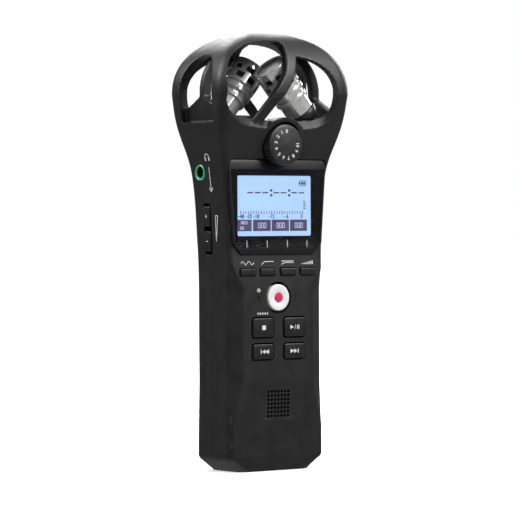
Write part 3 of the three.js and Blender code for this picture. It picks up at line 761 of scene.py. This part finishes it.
def frame_outline(grow=0.0):
    wide, narrow = FRAME_HIGH_HALF + grow, FRAME_LOW_HALF + grow
    low, high = FRAME_BOTTOM_Z - grow, FRAME_TOP_Z + grow
    right = [(narrow - 3.2, low), (narrow, low + 3.2), (wide, high - 1.3), (wide - 1.3, high)]
    return right + mirrored(right)


def whole_shell():
    foot, join_levels = [0, 0.15, 0.4, 0.8], spaced(JOIN_Z - 0.9, JOIN_Z, 0.3)
    levels = [*foot, *spaced(1.2, JOIN_Z - 1.2, 0.9), *join_levels]
    body = loft("body", [ring(z) for z in levels])
    inner_levels = spaced(WALL, JOIN_Z, 4)
    inner = [ring(z, WALL + 1 if z < 4 else WALL) for z in inner_levels]
    hollow = loft("body_hollow", inner[:-1] + [ring(JOIN_Z - 1, WALL)])
    housing = combine(dial_housing(), copy_of(body, "housing_limit"), "INTERSECT")
    cut(body, hollow)
    combine(body, housing, "UNION")
    combine(body, guard(), "UNION")
    apart = [
        prism("frame_pocket", frame_outline(0.12), "Y", -20, -7.7),
        rod("Y", (0, RECORD_Z), 5.05, -20, -5, 72),
        rod("Y", RECORD_LIGHT_PLACE, 0.5, -20, -5, 20),
        *[key_hole(node, 0.9, 0.45) for node in TRANSPORT_KEYS],
        *[key_hole(node, 0.3, 0.32) for node in FUNCTION_KEYS],
        *speaker_holes(),
        *side_cutters(),
        cuboid(LID_X, (5, 20), LID_Z),
        rod("Y", TRIPOD_PLACE, 4.6, 5, 20, 48),
        *[rod("Y", place, 2.15, 5, 20, 32) for place in SCREW_PLACES],
    ]
    return cut(
        body,
        rod("Y", (0, DIAL_Z), DIAL_RADIUS + 0.7, -25, DIAL_SEAT_Y, 72),
        merged([rod("Y", (0, DIAL_Z), 2.5, -12, -6, 24), cuboid(MODULE_X, (-20, -5), MODULE_Z)]),
        merged(apart),
    )


def shells():
    """Both shells meet along a shallow groove, which the rear one's edge closes from behind."""
    front = whole_shell()
    rear = copy_of(front, "rear")
    meeting = PARTING_Y - SEAM / 2
    groove = cuboid((-40, 40), (meeting - 0.01, meeting + SEAM), (-5, 150))
    cut(groove, dome_solid("seam_core", SEAM_DEPTH, SEAM_DEPTH, HEIGHT - SEAM_DEPTH))
    cut(front, cuboid((-40, 40), (meeting, 40), (-5, 150)))
    cut(rear, cuboid((-40, 40), (-40, meeting), (-5, 150)), groove)
    for shell, side in ((front, "front"), (rear, "rear")):
        nodes = (side + "_case", "cage_" + side)
        finish_piece(shell, side + "_shell", SHELL, replaces=nodes, angle=28)


# Keys and switches


def pillow(name, outline_at, axis, back, front, edge=0.35, steps=4):
    """A key with a rounded front edge. outline_at(inset) gives its outline drawn in by that much."""
    direction = 1 if front > back else -1
    levels = [(back, 0.0)]
    for step in range(steps + 1):
        angle = QUARTER * step / steps
        depth = front - direction * edge * (1 - math.sin(angle))
        levels.append((depth, edge * (1 - math.cos(angle))))
    rings = [[set_along(axis, a, b, level) for a, b in outline_at(inset)] for level, inset in levels]
    if (axis == "Y") == (direction > 0):
        rings.reverse()
    return loft(name, rings)


def key_cap(node, axis, radius, edge, body):
    """A cap that fills its node's box and faces away from the middle of the recorder."""
    low, high = (end["XYZ".index(axis)] for end in box_mm(node))
    back, front = (high, low) if low < 0 else (low, high)

    def outline(inset):
        return box_outline(node, axis, max(0.1, radius - inset), -inset)

    cap = pillow(node + "_cap", outline, axis, back, front, edge)
    finish_piece(cap, node + "_cap", KEY, body, (node,))


def decal(name, outlines, y, body, material=PAINT):
    """Flat painted marks on a face that looks towards -Y."""
    pieces = [prism("mark", outline, "Y", y - PAINT_DEPTH, y) for outline in outlines]
    return join(pieces, name, material, body)


def join(pieces, name, material, body, replaces=()):
    return finish_piece(merged(pieces, name), name, material, body, replaces)


def shifted(outline, x, z):
    return [(a + x, b + z) for a, b in outline]


def mirrored(outline):
    return [(-a, b) for a, b in reversed(outline)]


def stroke(start, end, half_width=0.1):
    start, end = Vector(start), Vector(end)
    along = (end - start).normalized() * half_width
    across = Vector((-along.y, along.x))
    start, end = start - along, end + along
    return [tuple(point) for point in (start - across, end - across, end + across, start + across)]


def line(points, half_width=0.1):
    return [stroke(a, b, half_width) for a, b in zip(points, points[1:])]


def wall_marks(name, outlines, axis, wall_at):
    """Painted marks that follow a wall. wall_at(z) gives the wall's place along the axis."""
    marks = join([prism("mark", outline, axis, -1, 1) for outline in outlines], name, PAINT, "root")
    index = "XYZ".index(axis)
    for vertex in marks.data.vertices:
        proud = PAINT_DEPTH if vertex.co[index] < 0 else -0.2
        vertex.co[index] = (wall_at(vertex.co.z / MM) - proud) * MM


def front_marks():
    """Small signs above the function keys, by the record light and above the stop key."""
    wave = [(-2.4 + index * 0.3, 0.5 * math.sin(index * math.pi / 4)) for index in range(17)]
    bars = [(-2 + 0.8 * index, 0.12 + 0.09 * index) for index in range(6)]
    signs = [
        line(wave),
        line([(-2.3, -0.5), (-1, 0.4), (2.3, 0.4)]),
        line([(-2.3, -0.5), (-0.8, 0.05), (2.3, 0.05)]) + line([(-2.3, 0.5), (2.3, 0.5)]),
        [rectangle(0.2, half, (x, half - 0.57)) for x, half in bars],
    ]
    outlines = []
    for sign, x in zip(signs, (-11.6, -3.9, 3.9, 11.6)):
        outlines += [shifted(outline, x, 65.2) for outline in sign]
    turn = [(0.55 * math.cos(k * math.pi / 6), 0.55 * math.sin(k * math.pi / 6)) for k in range(13)]
    outlines += [shifted(outline, -7.6, 56.6) for outline in line(turn) + [circle(0.25, steps=12)]]
    outlines += [rectangle(0.22, 0.3, (-7.9 + 0.9 * index, 49.4)) for index in range(5)]
    wall_marks("front_marks", outlines, "Y", lambda z: section_at(z)[1])


def left_marks():
    """Headphones and an outward arrow by the jack, and a volume wedge by the volume keys."""
    y = -0.6
    band = [(1.05 * math.cos(k * math.pi / 8), 1.15 * math.sin(k * math.pi / 8)) for k in range(-1, 10)]
    outlines = [shifted(outline, y, 98) for outline in line(band, 0.13)]
    outlines += [rectangle(0.32, 0.55, (y + side * 0.95, 97.6)) for side in (-1, 1)]
    outlines += line([(y, 95), (y, 87.6)], 0.13)
    outlines += line([(y - 0.9, 88.6), (y, 87.5), (y + 0.9, 88.6)], 0.13)
    outlines += line([(y - 1.4, 80), (y - 2.6, 80), (y - 1.4, 72), (y - 1.4, 80)], 0.13)
    wall_marks("left_marks", outlines, "X", lambda z: -section_at(z)[0])
    across, upright = rectangle(0.55, 0.12), rectangle(0.12, 0.55)
    for node, bars in (("volume_up", [across, upright]), ("volume_down", [across])):
        centre, face = box_face(node, "X")[0], box_mm(node)[0].x
        pieces = [prism("mark", shifted(bar, *centre), "X", face - 0.02, face + 0.1) for bar in bars]
        join(pieces, node + "_mark", PAINT, node + "_key")


def transport_marks():
    triangle = [(-0.7, -0.66), (0.6, 0), (-0.7, 0.66)]
    bar = rectangle(0.16, 0.66)
    slash = [(-0.3, -0.75), (-0.12, -0.75), (0.3, 0.75), (0.12, 0.75)]
    skip = [shifted(triangle, -1.15, 0), shifted(triangle, 0.2, 0), shifted(bar, 1.15, 0)]
    symbols = {
        "stop_button": [rectangle(0.7, 0.7)],
        "play_button": [
            shifted(triangle, -1.2, 0), slash, shifted(bar, 0.85, 0), shifted(bar, 1.45, 0),
        ],
        "forward_button": skip,
        "rewind_button": [mirrored(outline) for outline in skip],
    }
    for node, outlines in symbols.items():
        centre, face = box_face(node, "Y")[0], box_mm(node)[0].y
        placed = [shifted(outline, *centre) for outline in outlines]
        decal(node + "_mark", placed, face + 0.005, node.replace("_button", "_key"))


def controls():
    for index, node in enumerate(FUNCTION_KEYS, 1):
        key_cap(node, "Y", 0.3, 0.25, f"function_{index}_key")
    for node in TRANSPORT_KEYS:
        key_cap(node, "Y", 0.9, 0.35, node.replace("_button", "_key"))
    transport_marks()
    front_marks()
    left_marks()
    for node in ("volume_up", "volume_down"):
        key_cap(node, "X", 0.7, 0.35, node + "_key")
    key_cap("power_switch", "X", 0.5, 0.3, "power_slider")


def slot_backs():
    """A dark plate inside each side wall, so the body can't be seen through at the moving keys. Its
    near-black colour is painted shade for the inside of the body.
    """
    left, right = ((-15.9, -15.4), (66.8, 85)), ((15.9, 16.4), (70.5, 89))
    for name, (x, z) in (("volume_slot_back", left), ("switch_slot_back", right)):
        plate = bevel(cuboid(x, (-0.5, 5.3), z), 0.15, 2)
        finish_piece(plate, name, DARK)


def record_piece(node, name, profile_at, steps, material):
    """A turned piece that fills its node's box. profile_at(radius, depth) gives its profile."""
    low, high = box_mm(node)
    piece = lathe(name, profile_at((high.x - low.x) / 2, high.y - low.y), steps)
    moved(piece, facing_front(0, high.y, RECORD_Z))
    finish_piece(piece, name, material, "record_key", (node,))


def record_key():
    def cap(radius, depth, edge=0.45):
        points = [(0, 0), (radius - 0.3, 0), (radius, 0.3)]
        for step in range(7):
            angle = QUARTER * step / 6
            in_by, down_by = edge * (1 - math.cos(angle)), edge * (1 - math.sin(angle))
            points.append((radius - in_by, depth - down_by))
        points += [(radius - 1.2, depth - 0.06), (1.75, depth - 0.12), (1.62, depth - 0.18)]
        return points + [(1.6, depth - 0.5), (0, depth - 0.5)]

    def dot(radius, depth):
        return [
            (0, 0), (radius, 0), (radius, depth - 0.12), (radius - 0.12, depth - 0.02),
            (0.6, depth), (0, depth),
        ]

    record_piece("record_button", "record_cap", cap, 96, WHITE)
    record_piece("record_dot", "record_spot", dot, 64, RED)


def text_mesh(text, size, boldness):
    curve = bpy.data.curves.new("text", "FONT")
    curve.offset = boldness * MM
    curve.body = text
    curve.size = size * MM
    curve.extrude = PAINT_DEPTH * MM / 2
    curve.align_x = "CENTER"
    curve.align_y = "CENTER"
    curve.resolution_u = 3
    obj = linked("text", curve)
    depsgraph = bpy.context.evaluated_depsgraph_get()
    mesh = bpy.data.meshes.new_from_object(obj.evaluated_get(depsgraph))
    bpy.data.objects.remove(obj)
    return linked("digits", mesh)


def level_dial():
    low, high = box_mm("level_knob")
    teeth, steps = 54, 6
    outer = (high.x - low.x) / 2

    def gear(radius, depth):
        points = []
        for index in range(teeth * steps):
            angle = 2 * math.pi * index / (teeth * steps)
            wave = abs(math.cos(angle * teeth / 2)) ** 0.6
            here = radius - depth * (1 - wave)
            points.append((here * math.cos(angle), DIAL_Z + here * math.sin(angle)))
        return points

    levels = [
        (high.y, outer - 0.5, 0.2), (high.y - 0.4, outer, 0.32), (low.y + 0.75, outer, 0.32),
        (low.y + 0.5, outer - 0.12, 0.2), (low.y + 0.35, outer - 0.45, 0.05),
        (low.y + 0.3, outer - 0.75, 0), (low.y + 0.22, outer - 0.82, 0), (low.y + 0.04, outer - 0.9, 0),
        (low.y, outer - 1.05, 0),
    ]
    rings = [[(x, y, z) for x, z in gear(radius, depth)] for y, radius, depth in levels]
    knob = loft("level_dial", rings)
    cut(knob, rod("Y", (0, DIAL_Z), 2.3, -12.9, -5, 24))
    finish_piece(knob, "level_dial", KNOB, "knob", ("level_knob",), angle=24)
    numbers = []
    for value in range(11):
        angle = math.radians(90 + 27 * value)
        turn = Matrix.Rotation(angle - QUARTER, 4, "Z")
        place = facing_front(0, low.y, DIAL_Z) @ turn @ Matrix.Translation(Vector((0, 4.15, 0)) * MM)
        numbers.append(moved(text_mesh(str(value), 1.55, 0.03), place))
    join(numbers, "dial_numbers", PAINT, "knob")


# The display


DISPLAY_X, DISPLAY_HALF_WIDTH, DISPLAY_TOP_Z, DISPLAY_BOTTOM_Z = -1.2, 14.3, 92.4, 73.6
PLATE = {"low_half": 16.4, "high_half": 18.1, "low": 69.9, "high": 94.4}
TICK_X = (-12, -4.2, 3.6, 11.3)


def screen():
    """A satin surround with a gloss plate in it, which masks the lit display behind the lens."""

    def plate(inset, back, front):
        narrow, wide = PLATE["low_half"] - inset, PLATE["high_half"] - inset
        low, high = PLATE["low"] + inset, PLATE["high"] - inset
        right = [(narrow - 1.6, low), (narrow, low + 1.6), (wide, high - 0.4), (wide - 0.4, high)]
        return prism("plate", right + mirrored(right), "Y", front, back)

    surround = bevel(prism("surround", frame_outline(), "Y", -9.3, -8), 0.28, 3)
    cut(surround, plate(0, -5, -12))
    finish_piece(surround, "screen_surround", BEZEL, replaces=("screen_frame",))
    lit_size = (DISPLAY_HALF_WIDTH, (DISPLAY_TOP_Z - DISPLAY_BOTTOM_Z) / 2)
    lit_centre = (DISPLAY_X, (DISPLAY_TOP_Z + DISPLAY_BOTTOM_Z) / 2)
    opening = prism("opening", rounded(*lit_size, 0.5, lit_centre), "Y", -12, -8)
    mask = cut(plate(0.03, -8.75, -9.2), opening)
    finish_piece(mask, "display_mask", GLOSS)
    panel = prism("panel", rounded(15.28, 11.28, 0.3, (0, 83)), "Y", -8.74, -5.2)
    finish_piece(panel, "display_module", GLOSS, replaces=("lcd_panel",))
    lit = prism("lit", rectangle(*lit_size, lit_centre), "Y", -8.84, -8.76)
    finish_piece(lit, "display_light", DISPLAY_LIT)
    display_graphics(-8.84)
    lens = plate(0.03, -9.22, -9.28)
    finish_piece(lens, "display_lens", GLASS, replaces=("screen_window",))
    decal("screen_ticks", [rectangle(0.07, 1.1, (x, 71.05)) for x in TICK_X], -9.2, "root")


def hollow_box(half_width, half_height, thickness, centre):
    x, z = centre
    sides = [rectangle(half_width, thickness / 2, (x, z + sign * half_height)) for sign in (-1, 1)]
    ends = [rectangle(thickness / 2, half_height, (x + sign * half_width, z)) for sign in (-1, 1)]
    return sides + ends


def display_graphics(y):
    """A clock of dashes, a level scale, a battery sign and four status boxes."""

    def at(x, down):
        return (DISPLAY_X - DISPLAY_HALF_WIDTH + x, DISPLAY_TOP_Z - down)

    ink = [rectangle(1.1, 0.2, at(x, 5.3)) for x in (5.1, 8.0, 10.9, 15.2, 18.0, 22.1, 25.0)]
    for x in (13.2, 20.2):
        ink += [rectangle(0.4, 0.36, at(x, down)) for down in (4.6, 6.1)]
    ink += [rectangle(0.12, 0.4 if index % 4 else 0.6, at(1.4 + index, 11.5)) for index in range(25)]
    ink += hollow_box(1.2, 0.8, 0.2, at(25.6, 2.3))
    ink += [rectangle(0.2, 0.35, at(24.1, 2.3))]
    ink += [rectangle(0.25, 0.45, at(x, 2.3)) for x in (25.0, 25.6, 26.2)]
    ink += [rectangle(0.4, 0.14, at(26.1, 8.1 + 0.55 * index)) for index in range(5)]
    decal("display_marks", ink, y, "root", DISPLAY_INK)

    def number(value, x, down, size):
        spot_x, spot_z = at(x, down)
        return moved(text_mesh(value, size, 0.04), facing_front(spot_x, y - PAINT_DEPTH, spot_z))

    scale = []
    for value, x in (("48", 1.9), ("32", 4.9), ("18", 7.7), ("12", 13.6), ("6", 19.4), ("0", 25.0)):
        scale.append(number(value, x, 12.75, 1.7))
        if value != "0":
            sign = rectangle(0.3, 0.1, at(x - 1.2, 12.75))
            scale.append(prism("minus", sign, "Y", y - PAINT_DEPTH, y))
    join(scale, "display_numbers", DISPLAY_INK, "root")
    blocks = [(0.05, 5.6), (6.15, 12.95), (13.35, 20.05), (20.45, 27.1)]
    outlines = [rectangle((high - low) / 2, 1.8, at((low + high) / 2, 15.5)) for low, high in blocks]
    decal("display_blocks", outlines, y, "root", DISPLAY_BLOCK)
    signs = []
    for low, high in blocks[1:]:
        for column in (-1.1, 0, 1.1):
            signs += hollow_box(0.36, 0.75, 0.22, at((low + high) / 2 + 0.1 + column, 15.5))
    decal("display_signs", signs, y - PAINT_DEPTH, "root", DISPLAY_PIXEL)
    settings = [number("00.0", 2.7, 14.7, 1.5), number("00", 1.9, 16.4, 1.5)]
    join(settings, "display_settings", DISPLAY_PIXEL, "root")


# Microphones


def place_on_axis():
    """From a lathe standing on Z, whose zero is the sound inlet, to the front microphone's place."""
    return Matrix.Translation(MIC_FACE * MM) @ Matrix.Rotation(-MIC_TILT, 4, "Y")


def barrel():
    r = MIC_RADIUS
    profile = [
        (0, -MIC_LENGTH), (4.5, -MIC_LENGTH), (4.6, -17.9), (4.6, -13.5), (4.7, -13.4), (5.2, -13.35),
        (5.3, -13.2), (5.3, -12.3), (5.2, -12.15), (4.8, -12.1), (4.75, -12), (4.75, -10.9), (4.8, -10.8),
        (r - 0.12, -10.75), (r, -10.6), (r, -9.5), (r - 0.12, -9.35), (5.1, -9.3), (5.05, -9.2),
        (5.05, -8.2), (5.1, -8.1), (r - 0.12, -8.05), (r, -7.9), (r, -0.35), (r - 0.1, -0.1),
        (r - 0.3, 0), (r - 0.5, -0.05), (r - 0.6, -0.3), (r - 0.65, -1.2), (0, -1.2),
    ]
    body = lathe("barrel", profile, 96)
    bore = lathe("bore", [(0, -7.4), (4.75, -7.4), (4.75, -1.9), (0, -1.9)], 64)
    windows = []
    for row, (low, high) in enumerate(((-7.1, -4.9), (-4.2, -2.2))):
        for index in range(8):
            angle = 2 * math.pi * (index + 0.5 * row) / 8
            outline = rectangle(1.35, (high - low) / 2, (0, (high + low) / 2))
            window = prism("window", outline, "Y", -8, -4.2)
            windows.append(moved(window, Matrix.Rotation(angle, 4, "Z")))
    cut(body, bore, *windows)
    return moved(body, place_on_axis())


def woven_disc():
    """A domed disc of crossing wires, each a thin four-sided tube that goes over and under."""
    radius, pitch, wire = 4.95, 0.4, 0.11
    count = int(radius / pitch)
    vertices, faces = [], []

    def height(a, b):
        return -0.62 + 0.5 * (1 - (a * a + b * b) / radius ** 2)

    for direction in range(2):
        for strand in range(-count, count + 1):
            offset = strand * pitch
            reach = math.sqrt(max(0.0, radius ** 2 - offset ** 2))
            steps = max(2, int(2 * reach / (pitch / 2)))
            start = len(vertices)
            for step in range(steps + 1):
                along = -reach + 2 * reach * step / steps
                wave = math.cos(math.pi * along / pitch + math.pi * (strand + direction)) * 0.07
                for side in range(4):
                    angle = QUARTER * side
                    across = offset + wire * math.cos(angle)
                    level = height(along, offset) + wave + wire * math.sin(angle)
                    point = (along, across, level) if direction == 0 else (across, along, level)
                    vertices.append(point)
            for step in range(steps):
                for side in range(4):
                    a = start + step * 4 + side
                    b = start + step * 4 + (side + 1) % 4
                    faces.append((a, b, b + 4, a + 4) if direction == 0 else (a, a + 4, b + 4, b))
            last = start + steps * 4
            for end in (tuple(range(start + 3, start - 1, -1)), tuple(range(last, last + 4))):
                faces.append(end if direction == 0 else tuple(reversed(end)))
    return moved(new_object("woven", vertices, faces), place_on_axis())


def capsule():
    profile = [(0, -7.3), (4.3, -7.3), (4.5, -7.1), (4.5, -1.6), (4.3, -1.3), (0, -1.3)]
    return moved(lathe("capsule", profile, 48), place_on_axis())


def pod():
    top = -MIC_LENGTH - 0.02
    profile = [(0, top - 3.7), (3.2, top - 3.7), (4.3, top - 3), (5, top - 2), (5.15, top - 0.6),
               (5.0, top - 0.15), (4.8, top), (0, top)]
    return moved(lathe("pod", profile, 64), place_on_axis())


def microphones():
    for name, turn in (("front", False), ("rear", True)):
        parts = [
            (barrel(), f"mic_{name}_barrel", CHROME, "chrome", (f"mic_{name}_body",)),
            (woven_disc(), f"mic_{name}_weave", WIRE, "mesh", (f"mic_{name}_mesh",)),
            (capsule(), f"mic_{name}_capsule", DARK, "chrome", ()),
            (pod(), f"mic_{name}_base", KEY, "shell", (f"mic_{name}_pod",)),
        ]
        for piece, piece_name, material, slot, nodes in parts:
            if turn:
                half_turn(piece)
            finish_piece(piece, piece_name, material, "root", nodes)


# Sockets and the rest of the sides and back


def socket_ring(node, name, side, profile, material, replaces=()):
    """A ring turned about X inside a collar's box, from the wall's inside outwards."""
    low, high = box_mm(node)
    steps = 64
    vertices = [point for each in turned_rings(profile, steps) for point in each]
    piece = new_object(name, vertices, ring_faces([*range(len(profile)), 0], steps))
    start = high.x if side < 0 else low.x
    turn = Matrix.Rotation(side * QUARTER, 4, "Y")
    moved(piece, Matrix.Translation(Vector((start, *box_face(node, "X")[0])) * MM) @ turn)
    finish_piece(piece, name, material, "root", replaces)


def sockets():
    """A bright lip with a dark sleeve behind it, on each side. The green lip is partly lit by a painted
    glow.
    """
    for node, side, lip, sleeve, slot in (
        ("jack_collar", -1, GLOWING_GREEN, JACK_GREEN, "green_ring"),
        ("line_in_collar", 1, KEY, DARK, "dark_key"),
    ):
        low, high = box_mm(node)
        length = high.x - low.x
        lip_profile = [
            (2.08, 0), (2.5, 0), (2.5, length - 0.25), (2.42, length - 0.08), (2.28, length),
            (2.14, length - 0.02), (2.02, length - 0.12), (1.98, length - 0.3), (2.08, length - 0.5),
        ]
        end = length - 0.6
        sleeve_profile = [(1.7, 0.1), (2.0, 0.1), (2.0, end), (1.85, end + 0.1), (1.7, end)]
        name = node.replace("_collar", "")
        socket_ring(node, name + "_lip", side, lip_profile, lip, (node,))
        socket_ring(node, name + "_sleeve", side, sleeve_profile, sleeve)


def battery_lid():
    low, high = box_mm("battery_cover")

    def outline(inset):
        return box_outline("battery_cover", "Y", 0.6, 0.1 - inset)

    lid = pillow("lid", outline, "Y", low.y, high.y, 0.25)
    for index in range(5):
        slot = rounded(4.5 - 0.5 * index, 0.3, 0.28, (0, high.z - 5.5 - index * 1.5))
        cut(lid, prism("groove", slot, "Y", high.y - 0.35, high.y + 1))
    finish_piece(lid, "battery_lid", SHELL, "battery_door", ("battery_cover",))


def leftover_materials():
    """Finishes for the CAD nodes that are shown as they are."""
    looks = {
        "level_pot": STEEL, "record_led": LED_LENS, "phone_jack": JACK_GREEN,
        "line_in_jack": DARK, "delete_button": KEY, "usb_port": STEEL, "card_socket": STEEL,
        "memory_card": CARD, "card_cover": RUBBER, "battery_1": SLEEVE, "battery_2": SLEEVE,
        "battery_contact_top": STEEL, "battery_contact_bottom": STEEL, "tripod_insert": BRASS,
        "main_board": BOARD, "keypad_mat": RUBBER, "speaker": DARK, "mic_bracket": SHELL,
    }
    looks.update({f"case_screw_{index}": BLACK_STEEL for index in range(1, 5)})
    for node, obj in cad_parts.items():
        if node in looks:
            obj.data.materials.clear()
            obj.data.materials.append(looks[node])


# Stage

# name, azimuth, elevation, size, watts
SOFTBOXES = [
    ("key_light", 28, 36, 420, 4.5),
    ("corner_light", -64, 36, 260, 0.7),
    ("side_light", -126, 38, 360, 3.6),
    ("top_light", 28, 62, 420, 1.6),
    ("rear_light", 150, 34, 420, 2.6),
    ("right_light", 106, 22, 300, 1.6),
]


def studio():
    floor = new_object("floor", [(x, y, 0) for x, y in rectangle(9000, 9000)], [(0, 1, 2, 3)])
    look = Look("floor_paper", (0.9, 0.9, 0.9), 0.7)
    look.vary_color(400, 0.01).give("Emission Color", (1, 1, 1, 1))
    reach = look.node("ShaderNodeVectorMath", operation="LENGTH")
    look.link(look.coordinates.outputs["Object"], reach.inputs[0])
    glow = look.spread(reach.outputs["Value"], 0.3, 1.0, 0.06, 0.6)
    look.link(glow, look.shader.inputs["Emission Strength"])
    floor.data.materials.append(look.material)
    floor.visible_diffuse = False
    floor.visible_glossy = False
    surroundings()
    for name, *settings in SOFTBOXES:
        softbox(name, *settings)


def surroundings():
    """Pure white to the eye. In reflections and as light it is a dim room over a white floor."""
    world = bpy.data.worlds.new("studio")
    world.use_nodes = True
    nodes, links = world.node_tree.nodes, world.node_tree.links
    direction = nodes.new("ShaderNodeTexCoord")
    split = nodes.new("ShaderNodeSeparateXYZ")
    links.new(direction.outputs["Generated"], split.inputs["Vector"])
    ramp = nodes.new("ShaderNodeValToRGB")
    stops = ((0.0, 0.9), (0.16, 0.42), (0.44, 0.11), (0.62, 0.13), (1.0, 0.5))
    while len(ramp.color_ramp.elements) < len(stops):
        ramp.color_ramp.elements.new(0.5)
    for element, (place, value) in zip(ramp.color_ramp.elements, stops):
        element.position = place
        element.color = (value, value, value, 1)
    height = nodes.new("ShaderNodeMapRange")
    height.inputs["From Min"].default_value = -1.0
    links.new(split.outputs["Z"], height.inputs["Value"])
    links.new(height.outputs["Result"], ramp.inputs["Fac"])
    path = nodes.new("ShaderNodeLightPath")
    seen = nodes.new("ShaderNodeMix")
    seen.data_type = "RGBA"
    links.new(path.outputs["Is Camera Ray"], seen.inputs["Factor"])
    links.new(ramp.outputs["Color"], seen.inputs["A"])
    seen.inputs["B"].default_value = (1, 1, 1, 1)
    links.new(seen.outputs["Result"], nodes["Background"].inputs["Color"])
    bpy.context.scene.world = world


def softbox(name, azimuth, elevation, size_mm, watts, distance=700):
    """A round soft light. Azimuth 0 is in front, and -90 is on the left."""
    turn, lift = math.radians(azimuth), math.radians(elevation)
    aim = Vector((0, 0, 70))
    flat = math.cos(lift)
    away = Vector((math.sin(turn) * flat, -math.cos(turn) * flat, math.sin(lift)))
    light = bpy.data.lights.new(name, "AREA")
    light.shape = "DISK"
    light.size = size_mm * MM
    light.energy = watts
    obj = linked(name, light)
    obj.location = (aim + away * distance) * MM
    obj.rotation_euler = (-away).to_track_quat("-Z", "Y").to_euler()


def camera():
    azimuth, distance, eye = math.radians(-36), 915, 77
    lens_mm, tilt, roll, aside = 200.8, math.radians(0.69), math.radians(0.26), 0.2
    data = bpy.data.cameras.new("camera")
    data.lens = lens_mm
    data.clip_start = 0.05
    obj = linked("camera", data)
    away = Vector((math.sin(azimuth), -math.cos(azimuth), 0)) * distance
    left = Vector((-math.cos(azimuth), -math.sin(azimuth), 0)) * aside
    obj.location = (away + left + Vector((0, 0, eye))) * MM
    obj.rotation_euler = (QUARTER - tilt, roll, azimuth)
    bpy.context.scene.camera = obj


bpy.context.scene.view_settings.view_transform = "Standard"
studio()
camera()
shells()
controls()
slot_backs()
record_key()
level_dial()
screen()
microphones()
sockets()
battery_lid()
leftover_materials()
